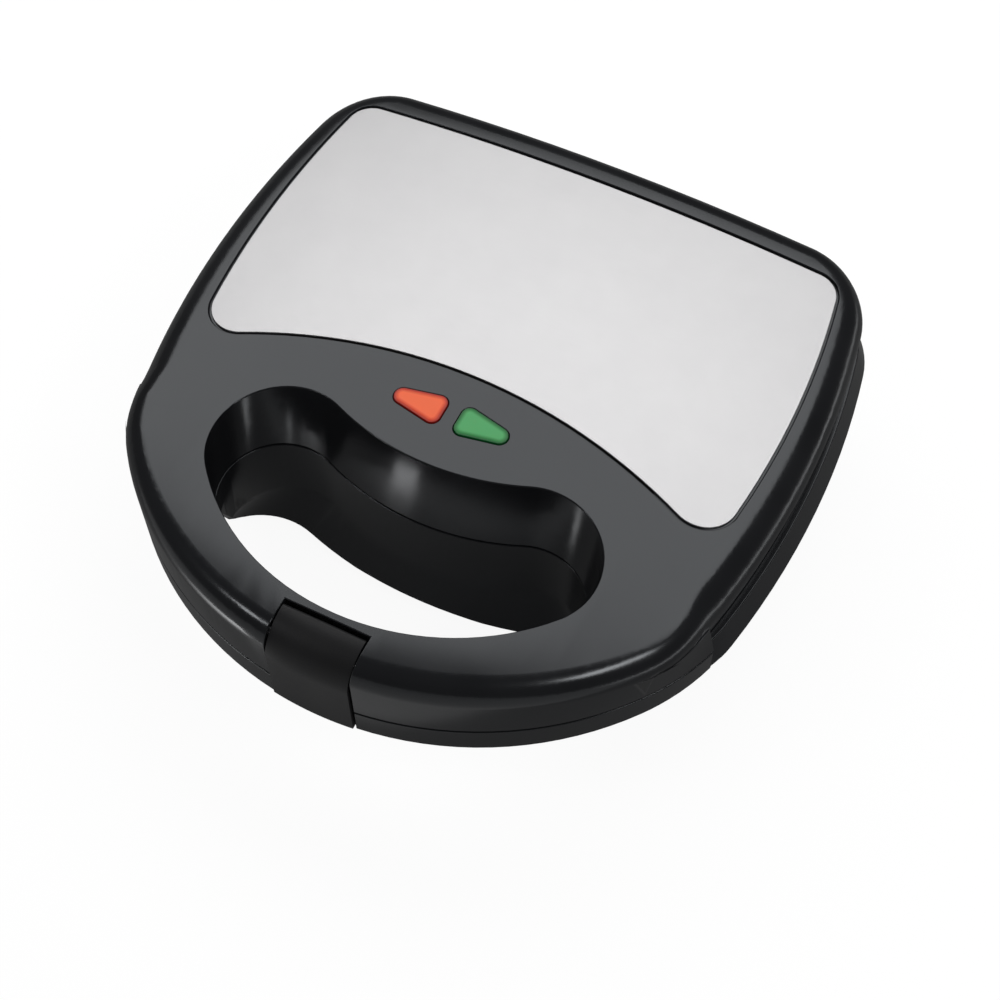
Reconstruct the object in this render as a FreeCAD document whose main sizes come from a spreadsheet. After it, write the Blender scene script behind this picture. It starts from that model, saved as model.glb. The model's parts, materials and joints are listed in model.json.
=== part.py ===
"""Countertop sandwich maker with a hinged lid, a loop handle and a front clip.

Frame: +X to the right seen from the front, +Y to the rear, +Z up, millimetres.
The origin is on the table, at the middle of the whole box.
"""
import FreeCAD
import Part
import math
import os
import Sketcher

doc = FreeCAD.newDocument("sandwich_maker")
sheet = doc.addObject("Spreadsheet::Sheet", "sizes")

SIZES = {
    # heights
    "crown_height": 84.0,
    "crown_radius": 830.0,
    "lid_depth": 27.0,
    "parting_gap": 1.0,
    "base_bulge_drop": 10.0,
    "base_floor_height": 6.0,
    "wall": 2.5,
    "overrun": 5.0,
    # plan outline of the lid, measured from the centre of the handle's front arc
    "front_arc_radius": 122.7,
    "shoulder_radius": 45.0,
    "shoulder_start_angle": 38.0,
    "shoulder_end_angle": 15.0,
    "side_radius": 318.0,
    "rear_reach": 105.7,
    "rear_corner_radius": 30.0,
    "lid_edge_round": 8.5,
    "lid_side_round": 12.0,
    # below its rounded edge the lid's side steps back, up to the handle's ends
    "lid_skirt_height": 11.0,
    "lid_skirt_inset": 2.0,
    # handle ends, which stand proud of the lid's side
    "handle_end_reach": 50.3,
    "handle_bend_radius": 85.0,
    "handle_bend_tighten": 32.0,
    "handle_shoulder_rise": 13.0,
    "handle_blend_rise": 20.0,
    "handle_blend_inset": 8.0,
    # plan outline of the base
    "base_rim_grow": 0.6,
    "base_bulge_grow": 4.5,
    "base_floor_inset": 10.0,
    "base_front_reach": 67.0,
    "base_front_corner_radius": 34.0,
    "lower_handle_depth": 12.0,
    "base_foot_round": 5.0,
    # hand hole: top edge in the lid, then the lower edge of the lid's skirt, then the base wall's foot
    "handle_depth": 18.4,
    "hole_front_sag": 21.9,
    "lobe_reach_side": 46.0,
    "lobe_rear_reach": 32.8,
    "bulge_reach": 42.8,
    "skirt_lobe_shift": 5.0,
    "skirt_lobe_tighten": 3.0,
    "skirt_bulge_shift": 7.6,
    "wall_band_drop": 27.0,
    "wall_foot_spread": 10.3,
    "wall_foot_shift": 10.4,
    "wall_foot_widen": 5.6,
    "wall_foot_bulge": 4.0,
    # steel decor panel in the lid's top
    "panel_side_margin": 13.5,
    "panel_side_radius": 330.0,
    "panel_side_reach": 30.0,
    "panel_rear_reach": 92.2,
    "panel_rear_corner": 9.0,
    "panel_front_corner": 12.0,
    "panel_front_radius": 210.0,
    "panel_front_reach": 4.3,
    "panel_gap": 0.9,
    "panel_recess": 1.2,
    "panel_sink": 0.2,
    # signal lenses
    "lens_reach_front": 22.3,
    "lens_inner_side": 2.8,
    "lens_length": 18.4,
    "lens_wide_half": 5.7,
    "lens_wide_corner": 3.0,
    "lens_tip_radius": 3.2,
    "lens_gap": 0.2,
    "lens_proud": 0.4,
    "lens_flange": 1.2,
    "lens_flange_thick": 1.4,
    # lamps behind the lenses
    "lamp_radius": 2.8,
    "lamp_length": 5.0,
    "lamp_board_thick": 1.6,
    "lamp_board_margin": 3.0,
    "lamp_post_radius": 2.0,
    # heating plates
    "plate_grow": 6.0,
    "plate_front_reach": 34.0,
    "plate_front_corner": 18.0,
    "plate_flange": 5.0,
    "plate_flange_thick": 2.0,
    "plate_depth": 12.0,
    "plate_seat_gap": 0.3,
    "plate_ledge_thick": 2.5,
    "dish_depth": 8.5,
    "dish_half_ridge": 3.0,
    "dish_centre_gap": 5.0,
    "dish_front_margin": 6.0,
    "dish_rear_margin": 7.0,
    "dish_side_margin": 9.5,
    "dish_corner_round": 6.0,
    "dish_floor_round": 4.0,
    # tubular elements and steel reflectors
    "element_radius": 3.2,
    "element_turn_radius": 25.0,
    "element_end_margin": 27.0,
    "element_pin_radius": 1.5,
    "element_pin_length": 8.0,
    "reflector_thick": 0.6,
    "reflector_gap": 0.6,
    "reflector_margin": 6.0,
    # screws that hold the plates
    "screw_radius": 2.0,
    "screw_clearance": 0.2,
    "screw_head_radius": 3.7,
    "screw_head_thick": 2.4,
    "screw_bite": 3.0,
    "boss_radius": 5.0,
    "boss_counterbore": 14.0,
    # controls in the base
    "thermostat_radius": 7.5,
    "thermostat_thick": 8.0,
    "fuse_radius": 2.2,
    "fuse_length": 14.0,
    "fuse_side": 26.0,
    "fuse_setback": 12.0,
    "terminal_width": 30.0,
    "terminal_depth": 14.0,
    "terminal_thick": 12.0,
    # cord inlet in the rear wall
    "inlet_radius": 7.0,
    "inlet_bore_radius": 4.0,
    "inlet_flange": 2.5,
    "inlet_flange_thick": 2.0,
    # hinge
    "knuckle_radius": 4.8,
    "knuckle_gap": 0.9,
    "knuckle_width": 11.0,
    "hinge_corner_gap": 1.7,
    "ear_width": 7.0,
    "hinge_side_gap": 0.4,
    "hinge_pin_radius": 2.0,
    "hinge_running_gap": 0.06,
    # front clip
    "clip_half_width": 14.8,
    "clip_side_gap": 0.5,
    "clip_thick": 2.4,
    "clip_proud": 0.8,
    "clip_back_gap": 0.5,
    "clip_flap_depth": 14.6,
    "clip_flap_gap": 1.3,
    "clip_end_rise": 1.2,
    "clip_pivot_depth": 5.0,
    "clip_pivot_setback": 6.2,
    "clip_well_depth": 16.0,
    "clip_top_round": 13.0,
    "clip_rear_round": 1.2,
    "clip_ear_thick": 3.0,
    "clip_ear_radius": 3.4,
    "latch_pin_radius": 1.5,
    "latch_pin_bearing": 5.0,
    # hollow handle and its liners
    "handle_wall": 3.0,
    "liner_thick": 2.0,
    "liner_gap": 0.2,
    "handle_roof": 12.0,
    "handle_floor": 2.5,
    # feet
    "foot_radius": 8.0,
    "foot_side_margin": 37.5,
    "foot_front_reach": 18.0,
    "foot_rear_reach": 72.0,
    "foot_spigot_radius": 4.0,
    "foot_spigot_length": 2.5,
    # leads inside the base
    "lead_radius": 1.2,
    "lead_bend": 5.0,
    "lead_spacing": 10.0,
}


class Size:
    """A length or angle that knows its value and the sheet formula that gives it."""

    def __init__(self, value, formula):
        self.value = value
        self.formula = formula

    def __add__(self, other):
        other = as_size(other)
        return Size(self.value + other.value, f"({self.formula} + {other.formula})")

    def __sub__(self, other):
        other = as_size(other)
        return Size(self.value - other.value, f"({self.formula} - {other.formula})")

    def __mul__(self, other):
        other = as_size(other)
        return Size(self.value * other.value, f"({self.formula} * {other.formula})")

    def __truediv__(self, other):
        other = as_size(other)
        return Size(self.value / other.value, f"({self.formula} / {other.formula})")

    def __rsub__(self, other):
        return as_size(other) - self

    def __neg__(self):
        return Size(-self.value, f"(0 - {self.formula})")

    __radd__ = __add__
    __rmul__ = __mul__


def as_size(number):
    """A plain number as a size, so that both mix in sums."""
    return number if isinstance(number, Size) else Size(float(number), str(number))


def root(size):
    """Square root of a size."""
    return Size(math.sqrt(size.value), f"sqrt({size.formula})")


def sine(angle):
    """Sine of an angle in degrees."""
    return Size(math.sin(math.radians(angle.value)), f"sin({angle.formula})")


def cosine(angle):
    """Cosine of an angle in degrees."""
    return Size(math.cos(math.radians(angle.value)), f"cos({angle.formula})")


ZERO = Size(0.0, "0")
FOOT_STEPS = 3
SAME_PLACE = 0.001
EDGE_TEST_SHARES = (0.0, 0.5, 1.0)


def fill_sheet():
    """Write every driving size to a cell of its own and give the cell its name."""
    for row, (name, value) in enumerate(SIZES.items(), start=1):
        sheet.set(f"A{row}", name)
        sheet.set(f"B{row}", str(value))
        sheet.setAlias(f"B{row}", name)
    doc.recompute()


def size(name):
    """The driving size of that name."""
    return Size(SIZES[name], f"sizes.{name}")


class Arc:
    """A round stretch of an outline: its centre, radius and turning sense."""

    def __init__(self, centre, radius, left=True):
        self.centre = centre
        self.radius = radius
        self.left = left

    def mirrored(self):
        """The same arc on the other side of the middle plane."""
        return Arc((-self.centre[0], self.centre[1]), self.radius, self.left)


def span(point):
    """Length of a plan vector."""
    return root(point[0] * point[0] + point[1] * point[1])


def along(start, towards, distance):
    """The point at a distance from start in the direction of another point."""
    step = (towards[0] - start[0], towards[1] - start[1])
    share = distance / span(step)
    return (start[0] + step[0] * share, start[1] + step[1] * share)


def circles_meet(first, first_radius, second, second_radius):
    """The point, on the right going from first to second, where two circles cross."""
    step = (second[0] - first[0], second[1] - first[1])
    gap = span(step)
    reach = (gap * gap + first_radius * first_radius - second_radius * second_radius) / (gap * 2)
    rise = root(first_radius * first_radius - reach * reach)
    x = first[0] + step[0] * reach / gap + step[1] * rise / gap
    y = first[1] + step[1] * reach / gap - step[0] * rise / gap
    return (x, y)


def symmetric(points, stretches, front, rear):
    """A closed outline from its right side: points from front to rear and what joins them."""
    path = [((-points[0][0], points[0][1]), front)]
    path += list(zip(points[:-1], stretches))
    path.append((points[-1], rear))
    for place in range(len(points) - 1, 0, -1):
        stretch = stretches[place - 1]
        path.append(((-points[place][0], points[place][1]), stretch.mirrored() if stretch else None))
    return path


def moved(path, forward):
    """The outline moved along Y, which puts it in the frame of the whole object."""
    result = []
    for point, arc in path:
        if arc:
            arc = Arc((arc.centre[0], arc.centre[1] + forward), arc.radius, arc.left)
        result.append(((point[0], point[1] + forward), arc))
    return result


def mirrored_path(path):
    """The outline on the other side of the middle plane, drawn in the same sense."""
    count = len(path)
    result = []
    for place in range(count, 0, -1):
        point = path[place % count][0]
        arc = path[place - 1][1]
        result.append(((-point[0], point[1]), arc.mirrored() if arc else None))
    return result


def vector(point):
    """The present place of a plan point."""
    return FreeCAD.Vector(point[0].value, point[1].value, 0)


def arc_edge(start, end, arc):
    """The sketch geometry of one round stretch."""
    centre = vector(arc.centre)
    circle = Part.Circle(centre, FreeCAD.Vector(0, 0, 1), arc.radius.value)
    first = math.atan2(*reversed((vector(start) - centre)[:2]))
    last = math.atan2(*reversed((vector(end) - centre)[:2]))
    if not arc.left:
        first, last = last, first
    if last <= first:
        last += 2 * math.pi
    return Part.ArcOfCircle(circle, first, last)


def origin_plane(body, role):
    """One of the body's own origin planes."""
    return next(item for item in body.Origin.OriginFeatures if item.Role == role)


def new_sketch(body, name, height, role="XY_Plane"):
    """An empty sketch on a plane of the body, lifted to a height."""
    sketch = body.newObject("Sketcher::SketchObject", name)
    sketch.AttachmentSupport = [(origin_plane(body, role), "")]
    sketch.MapMode = "FlatFace"
    sketch.setExpression("AttachmentOffset.Base.z", height.formula)
    return sketch


def pin(sketch, geometry, end, point):
    """Fix one end of a sketch line at a place given by the sheet."""
    for kind, distance in (("DistanceX", point[0]), ("DistanceY", point[1])):
        place = sketch.addConstraint(Sketcher.Constraint(kind, -1, 1, geometry, end, distance.value))
        sketch.setExpression(f"Constraints[{place}]", distance.formula)


def draw(body, name, path, height, role="XY_Plane"):
    """A closed sketch of lines and arcs, each corner and radius bound to the sheet."""
    sketch = new_sketch(body, name, height, role)
    count = len(path)
    starts = []
    for place, (point, arc) in enumerate(path):
        end = path[(place + 1) % count][0]
        edge = arc_edge(point, end, arc) if arc else Part.LineSegment(vector(point), vector(end))
        sketch.addGeometry(edge, False)
        starts.append((1, 2) if not arc or arc.left else (2, 1))
    for place in range(count):
        following = (place + 1) % count
        joint = Sketcher.Constraint("Coincident", place, starts[place][1], following, starts[following][0])
        sketch.addConstraint(joint)
    for place, (point, arc) in enumerate(path):
        pin(sketch, place, starts[place][0], point)
        if arc:
            turn = sketch.addConstraint(Sketcher.Constraint("Radius", place, arc.radius.value))
            sketch.setExpression(f"Constraints[{turn}]", arc.radius.formula)
    return sketch


def draw_circles(body, name, centres, radius, height, role="XY_Plane"):
    """A sketch of equal circles."""
    sketch = new_sketch(body, name, height, role)
    for place, centre in enumerate(centres):
        circle = Part.Circle(vector(centre), FreeCAD.Vector(0, 0, 1), radius.value)
        sketch.addGeometry(circle, False)
        pin(sketch, place, 3, centre)
        turn = sketch.addConstraint(Sketcher.Constraint("Radius", place, radius.value))
        sketch.setExpression(f"Constraints[{turn}]", radius.formula)
    return sketch


def pad(body, sketch, length):
    """Raise a sketch into a solid."""
    feature = body.newObject("PartDesign::Pad", f"{sketch.Name}_pad")
    feature.Profile = sketch
    feature.setExpression("Length", length.formula)
    return feature


def slab(name, path, low, high):
    """An upright solid of one outline between two heights."""
    body = doc.addObject("PartDesign::Body", name)
    pad(body, draw(body, f"{name}_outline", path, low), high - low)
    return body


def rods(name, centres, radius, low, high):
    """Upright round bars of one radius between two heights."""
    body = doc.addObject("PartDesign::Body", name)
    pad(body, draw_circles(body, f"{name}_circles", centres, radius, low), high - low)
    return body


def tapered(name, levels):
    """A solid through outlines at rising heights, straight between them."""
    body = doc.addObject("PartDesign::Body", name)
    sketches = [draw(body, f"{name}_level{place}", path, height)
                for place, (path, height) in enumerate(levels)]
    loft = body.newObject("PartDesign::AdditiveLoft", f"{name}_loft")
    loft.Profile = sketches[0]
    loft.Sections = sketches[1:]
    loft.Ruled = True
    return body


def box(name, low, high):
    """A block between two corners."""
    block = doc.addObject("Part::Box", name)
    for axis, length, start, end in zip("xyz", ("Length", "Width", "Height"), low, high):
        block.setExpression(f"Placement.Base.{axis}", as_size(start).formula)
        block.setExpression(length, (end - start).formula)
    return block


def bar(name, start, length, radius, direction):
    """A round bar from a point along X or Y."""
    cylinder = doc.addObject("Part::Cylinder", name)
    turn = {"x": FreeCAD.Rotation(FreeCAD.Vector(0, 1, 0), 90),
            "y": FreeCAD.Rotation(FreeCAD.Vector(1, 0, 0), -90),
            "z": FreeCAD.Rotation()}[direction]
    cylinder.Placement = FreeCAD.Placement(FreeCAD.Vector(), turn)
    for axis, place in zip("xyz", start):
        cylinder.setExpression(f"Placement.Base.{axis}", as_size(place).formula)
    cylinder.setExpression("Radius", radius.formula)
    cylinder.setExpression("Height", length.formula)
    return cylinder


def fuse(name, shapes):
    """Several solids joined into one."""
    joined = doc.addObject("Part::MultiFuse", name)
    joined.Shapes = shapes
    joined.Refine = True
    return joined


def common(name, shapes):
    """What several solids share."""
    shared = doc.addObject("Part::MultiCommon", name)
    shared.Shapes = shapes
    return shared


def cut(name, base, tools):
    """A solid with others taken out of it."""
    tool = tools[0] if len(tools) == 1 else fuse(f"{name}_tools", tools)
    result = doc.addObject("Part::Cut", name)
    result.Base = base
    result.Tool = tool
    result.Refine = True
    return result


def rounded(name, base, radius, wanted):
    """A solid with the wanted edges rounded; wanted judges each edge."""
    return rounded_by_place(name, base, lambda point: radius.value, wanted)


def rounded_by_place(name, base, radius_at, wanted):
    """A solid with the wanted edges rounded, each end by the radius for its place."""
    doc.recompute()
    picked = [(place, radius_at(edge.Vertexes[0].Point), radius_at(edge.Vertexes[-1].Point))
              for place, edge in enumerate(base.Shape.Edges, start=1) if wanted(edge)]
    if not picked:
        raise RuntimeError(f"{name}: no edge to round")
    fillet = doc.addObject("Part::Fillet", name)
    fillet.Base = base
    fillet.Edges = picked
    return fillet


fill_sheet()

# Sizes that several pieces share
WALL = size("wall")
OVER = size("overrun")
CROWN = size("crown_height")
LIP = CROWN - size("lid_depth")
RIM = LIP - size("parting_gap")
BULGE = RIM - size("base_bulge_drop")
GRIP_LOW = RIM - size("lower_handle_depth")
WALL_BAND = RIM - size("wall_band_drop")
FLOOR = size("base_floor_height")
FRONT_RADIUS = size("front_arc_radius")
HINGE_HEIGHT = (LIP + RIM) / 2
KNUCKLE = size("knuckle_radius")
TOP = CROWN + OVER

# The box of the whole object runs from the clip's face to the back of the hinge
HINGE_REACH = size("rear_reach") + size("base_rim_grow") + size("knuckle_gap") + KNUCKLE
FORWARD = (FRONT_RADIUS + size("clip_proud") - HINGE_REACH - KNUCKLE) / 2
HINGE_Y = FORWARD + HINGE_REACH

# Centres that the lid and the base share
START = size("shoulder_start_angle")
END = size("shoulder_end_angle")
SHOULDER_REACH = FRONT_RADIUS - size("shoulder_radius")
SHOULDER = (SHOULDER_REACH * cosine(START), -(SHOULDER_REACH * sine(START)))
SIDE_STEP = size("side_radius") - size("shoulder_radius")
SIDE = (SHOULDER[0] - SIDE_STEP * cosine(END), SHOULDER[1] + SIDE_STEP * sine(END))
SIDE_REACH = SIDE[0] + size("side_radius")

# The hand hole takes what the handle leaves of the lid's front
HOLE_REACH = FRONT_RADIUS - size("handle_depth")
LOBE_RADIUS = (HOLE_REACH - size("hole_front_sag") - size("lobe_rear_reach")) / 2
LOBE_REACH = size("lobe_rear_reach") + LOBE_RADIUS


def corner_centre(reach, radius, side_radius, centre):
    """Centre of a corner that touches the side arc and a straight edge at a Y."""
    drop = reach - centre[1]
    inner = side_radius - radius
    return (centre[0] + root(inner * inner - drop * drop), reach)


def side_touch(corner, grow):
    """Where a corner arc and the side arc run into each other."""
    return along(SIDE, corner, size("side_radius") + grow)


def rear_corner(grow):
    """The two ends of the rear corner's arc, and that arc."""
    radius = size("rear_corner_radius")
    centre = corner_centre(size("rear_reach") - radius, radius, size("side_radius"), SIDE)
    return [side_touch(centre, grow), (centre[0], size("rear_reach") + grow)], Arc(centre, radius + grow)


def lid_outline(grow):
    """The lid and upper handle seen from above, grown outwards by a distance."""
    reach = FRONT_RADIUS + grow
    front_touch = (reach * cosine(START), -(reach * sine(START)))
    bend = size("shoulder_radius") + grow
    side_start = (SHOULDER[0] + bend * cosine(END), SHOULDER[1] - bend * sine(END))
    rear_points, rear_arc = rear_corner(grow)
    stretches = [Arc(SHOULDER, bend), Arc(SIDE, size("side_radius") + grow), rear_arc]
    path = symmetric([front_touch, side_start] + rear_points, stretches, Arc((ZERO, ZERO), reach), None)
    return moved(path, FORWARD)


def tub_outline(grow, front_reach, front_corner):
    """The base's bowl or a plate seen from above: straight front, bowed sides."""
    centre = corner_centre(front_corner - front_reach, front_corner, size("side_radius"), SIDE)
    front_points = [(centre[0], -(front_reach + grow)), side_touch(centre, grow)]
    rear_points, rear_arc = rear_corner(grow)
    stretches = [Arc(centre, front_corner + grow), Arc(SIDE, size("side_radius") + grow), rear_arc]
    return moved(symmetric(front_points + rear_points, stretches, None, None), FORWARD)


def base_outline(grow):
    """The base's bowl at one level."""
    return tub_outline(grow, size("base_front_reach"), size("base_front_corner_radius"))


def plate_outline(grow):
    """A heating plate's rim, grown outwards by a distance."""
    return tub_outline(grow - size("plate_grow"), size("plate_front_reach") + size("plate_grow"),
                       size("plate_front_corner"))


def handle_outline(grow, bend):
    """The loop handle seen from above: its front arc, bent a little tighter up to its two ends."""
    back = size("handle_end_reach")
    reach = FRONT_RADIUS + grow
    touch = (reach * cosine(START), -(reach * sine(START)))
    centre = ((FRONT_RADIUS - bend) * cosine(START), -((FRONT_RADIUS - bend) * sine(START)))
    turn = bend + grow
    drop = back + centre[1]
    side = centre[0] + root(turn * turn - drop * drop)
    right_bend = Arc(centre, turn)
    path = [((-side, -back), right_bend.mirrored()), ((-touch[0], touch[1]), Arc((ZERO, ZERO), reach)),
            (touch, right_bend), ((side, -back), None)]
    return moved(path, FORWARD)


def hole_outline(lower_share, grow, foot_share=0):
    """The hand hole at the lid's top (share 0), at the skirt's lower edge (share 1) or at the base's foot."""
    shift = size("skirt_lobe_shift") * lower_share + size("wall_foot_shift") * foot_share
    widen = size("wall_foot_widen") * foot_share
    turn = LOBE_RADIUS - size("skirt_lobe_tighten") * lower_share + widen
    lobe = (size("lobe_reach_side") + size("wall_foot_spread") * foot_share, -(LOBE_REACH + shift))
    bulge_reach = size("bulge_reach") + size("skirt_bulge_shift") * lower_share \
        + size("wall_foot_bulge") * foot_share
    depth = -lobe[1] - bulge_reach
    bulge_radius = (lobe[0] * lobe[0] + depth * depth - turn * turn) / ((turn - depth) * 2)
    bulge = (ZERO, bulge_radius - bulge_reach)
    front_reach = HOLE_REACH + size("wall_foot_shift") * foot_share + widen
    ahead = front_reach + lobe[1]
    front_radius = (lobe[0] * lobe[0] + ahead * ahead - turn * turn) / ((ahead - turn) * 2)
    front = (ZERO, front_radius - front_reach)
    points = [along(front, lobe, front_radius + grow), along(bulge, lobe, bulge_radius - grow)]
    path = symmetric(points, [Arc(lobe, turn + grow)], Arc(front, front_radius + grow),
                     Arc(bulge, bulge_radius - grow, left=False))
    return moved(path, FORWARD)


def base_hole_levels(grow):
    """The hand hole's levels through the base: wider at the foot, upright above the band's edge."""
    foot = hole_outline(1, grow, 1)
    skirt = hole_outline(1, grow)
    return [(foot, FLOOR - OVER), (foot, FLOOR), (skirt, WALL_BAND), (skirt, RIM + OVER)]


def panel_outline(grow):
    """The steel decor panel, hollowed along its front edge."""
    side_radius = size("panel_side_radius")
    side = (SIDE_REACH - size("panel_side_margin") - side_radius, size("panel_side_reach"))
    hollow_radius = size("panel_front_radius")
    hollow = (ZERO, -(size("panel_front_reach") + hollow_radius))
    turn = size("panel_front_corner")
    front = circles_meet(hollow, hollow_radius + turn, side, side_radius - turn)
    rear_turn = size("panel_rear_corner")
    rear = corner_centre(size("panel_rear_reach") - rear_turn, rear_turn, side_radius, side)
    points = [along(hollow, front, hollow_radius - grow), along(side, front, side_radius + grow),
              along(side, rear, side_radius + grow), (rear[0], size("panel_rear_reach") + grow)]
    stretches = [Arc(front, turn + grow), Arc(side, side_radius + grow), Arc(rear, rear_turn + grow)]
    path = symmetric(points, stretches, Arc(hollow, hollow_radius - grow, left=False), None)
    return moved(path, FORWARD)


def lens_outline(grow):
    """A signal lens on the right of the middle: wide end inwards, round tip outwards."""
    corner_turn = size("lens_wide_corner")
    tip_turn = size("lens_tip_radius")
    middle = -size("lens_reach_front")
    inner = size("lens_inner_side")
    tip = (inner + size("lens_length") - tip_turn, middle)
    corner = (inner + corner_turn, middle + size("lens_wide_half") - corner_turn)
    step = (tip[0] - corner[0], tip[1] - corner[1])
    gap = span(step)
    lean = (corner_turn - tip_turn) / gap
    square = root(1 - lean * lean)
    normal = (step[0] / gap * lean - step[1] / gap * square, step[1] / gap * lean + step[0] / gap * square)
    near = corner_turn + grow
    far = tip_turn + grow
    low = (corner[0], middle * 2 - corner[1])
    path = [((low[0] - near, low[1]), Arc(low, near)),
            ((low[0] + normal[0] * near, low[1] - normal[1] * near), None),
            ((tip[0] + normal[0] * far, tip[1] - normal[1] * far), Arc(tip, far)),
            ((tip[0] + normal[0] * far, tip[1] + normal[1] * far), None),
            ((corner[0] + normal[0] * near, corner[1] + normal[1] * near), Arc(corner, near)),
            ((corner[0] - near, corner[1]), None)]
    return moved(path, FORWARD)


def plan(x, y):
    """A place given from the middle plane and the centre of the handle's arc."""
    return (x, y + FORWARD)


def crown(name, drop):
    """The big round bar whose top is the lid's crowned surface, lowered by a distance."""
    radius = size("crown_radius") - drop
    start = (ZERO, -(FRONT_RADIUS * 2), CROWN - size("crown_radius"))
    return bar(name, start, FRONT_RADIUS * 4, radius, "y")


def screw_places():
    """The two screws that hold each plate, on the middle of each slice."""
    return [plan(SCREW_SIDE * side, SLICE_MIDDLE) for side in (-1, 1)]


# Slices of bread lie side by side, each in two three-cornered dishes
PLATE_REAR = size("rear_reach") - size("plate_grow") - size("plate_flange")
SLICE_FRONT = size("dish_front_margin") - size("plate_front_reach") + size("plate_flange")
SLICE_REAR = PLATE_REAR - size("dish_rear_margin")
SLICE_MIDDLE = (SLICE_FRONT + SLICE_REAR) / 2
SLICE_INNER = size("dish_centre_gap")
SLICE_OUTER = SIDE_REACH - size("plate_grow") - size("plate_flange") - size("dish_side_margin")
SCREW_SIDE = (SLICE_INNER + SLICE_OUTER) / 2
ELEMENT_HALF = SLICE_OUTER - size("element_end_margin")
PLATE_BACK_UP = LIP + size("plate_depth")
PLATE_BACK_DOWN = RIM - size("plate_depth")
ELEMENT_THICK = size("element_radius") * 2
INLET_HEIGHT = (FLOOR + PLATE_BACK_DOWN) / 2
TERMINAL_Y = SLICE_MIDDLE + size("element_turn_radius") + FORWARD


def dish_corners(upper_side):
    """One dish of the right slice as a three-cornered outline."""
    wide = SLICE_OUTER - SLICE_INNER
    deep = SLICE_REAR - SLICE_FRONT
    slope = root(wide * wide + deep * deep)
    step_x = size("dish_half_ridge") * slope / deep
    step_y = size("dish_half_ridge") * slope / wide
    if upper_side:
        corners = [(SLICE_INNER, SLICE_FRONT + step_y), (SLICE_OUTER - step_x, SLICE_REAR),
                   (SLICE_INNER, SLICE_REAR)]
    else:
        corners = [(SLICE_INNER + step_x, SLICE_FRONT), (SLICE_OUTER, SLICE_FRONT),
                   (SLICE_OUTER, SLICE_REAR - step_y)]
    return moved([(corner, None) for corner in corners], FORWARD)


def upright(edge):
    """Whether an edge stands along Z."""
    ends = [vertex.Point for vertex in edge.Vertexes]
    return len(ends) == 2 and (ends[0] - ends[1]).cross(FreeCAD.Vector(0, 0, 1)).Length < SAME_PLACE


def level_edge(edge, height):
    """Whether an edge lies flat at a height."""
    ends = (edge.BoundBox.ZMin, edge.BoundBox.ZMax)
    return all(abs(end - height.value) < SAME_PLACE for end in ends)


def dishes(name, low, high, floor):
    """The four dishes as solids, rounded in their corners and along their floors."""
    solids = []
    for half, upper_side in (("rear", True), ("front", False)):
        right = dish_corners(upper_side)
        for side, path in (("right", right), ("left", mirrored_path(right))):
            prism = slab(f"{name}_{half}_{side}", path, low, high)
            round_one = rounded(f"{prism.Name}_corners", prism, size("dish_corner_round"), upright)
            solids.append(rounded(f"{prism.Name}_floor", round_one, size("dish_floor_round"),
                                  lambda edge: level_edge(edge, floor)))
    return solids


def finish(label, shape_object):
    """Name a finished sub-part."""
    shape_object.Label = label
    SUBPARTS.append(shape_object)
    return shape_object


SUBPARTS = []


def make_plate(label, face, inwards):
    """A cast heating plate: rim flange, pan and four dishes; inwards is +1 for the lid."""
    back = face + size("plate_depth") * inwards
    flange_back = face + size("plate_flange_thick") * inwards
    floor = face + size("dish_depth") * inwards
    outside = face - OVER * inwards
    order = (lambda near, far: (near, far)) if inwards > 0 else (lambda near, far: (far, near))
    flange = slab(f"{label}_flange", plate_outline(ZERO), *order(face, flange_back))
    pan = slab(f"{label}_pan", plate_outline(-size("plate_flange")), *order(face, back))
    bite = back - size("screw_bite") * inwards
    holes = rods(f"{label}_screw_holes", screw_places(), size("screw_radius") + size("screw_clearance"),
                 *order(bite, back + OVER * inwards))
    whole = fuse(f"{label}_casting", [flange, pan])
    tools = dishes(f"{label}_dish", *order(outside, floor), floor) + [holes]
    return finish(label, cut(f"{label}_cut", whole, tools))


def make_element(label, height):
    """A bent tubular element with its two connection pins."""
    body = doc.addObject("PartDesign::Body", f"{label}_tube")
    turn = size("element_turn_radius")
    half = ELEMENT_HALF
    low = SLICE_MIDDLE - turn + FORWARD
    high = SLICE_MIDDLE + turn + FORWARD
    spine = new_sketch(body, f"{label}_route", height)
    centre = (-half, SLICE_MIDDLE + FORWARD)
    spine.addGeometry(Part.LineSegment(vector((half, low)), vector((-half, low))), False)
    spine.addGeometry(arc_edge((-half, high), (-half, low), Arc(centre, turn)), False)
    spine.addGeometry(Part.LineSegment(vector((-half, high)), vector((half, high))), False)
    spine.addConstraint(Sketcher.Constraint("Coincident", 0, 2, 1, 2))
    spine.addConstraint(Sketcher.Constraint("Coincident", 1, 1, 2, 1))
    for geometry, end, point in ((0, 1, (half, low)), (0, 2, (-half, low)),
                                 (2, 1, (-half, high)), (2, 2, (half, high))):
        pin(spine, geometry, end, point)
    middle = spine.addConstraint(Sketcher.Constraint("DistanceX", -1, 1, 1, 3, centre[0].value))
    spine.setExpression(f"Constraints[{middle}]", centre[0].formula)
    ring = draw_circles(body, f"{label}_section", [(low, height)], size("element_radius"), half, "YZ_Plane")
    pipe = body.newObject("PartDesign::AdditivePipe", f"{label}_pipe")
    pipe.Profile = ring
    pipe.Spine = (spine, ["Edge1", "Edge2", "Edge3"])
    pins = [bar(f"{label}_pin{place}", (half - OVER, y, height), size("element_pin_length") + OVER,
                size("element_pin_radius"), "x") for place, y in enumerate((low, high))]
    return finish(label, fuse(f"{label}_whole", [body] + pins))


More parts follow.
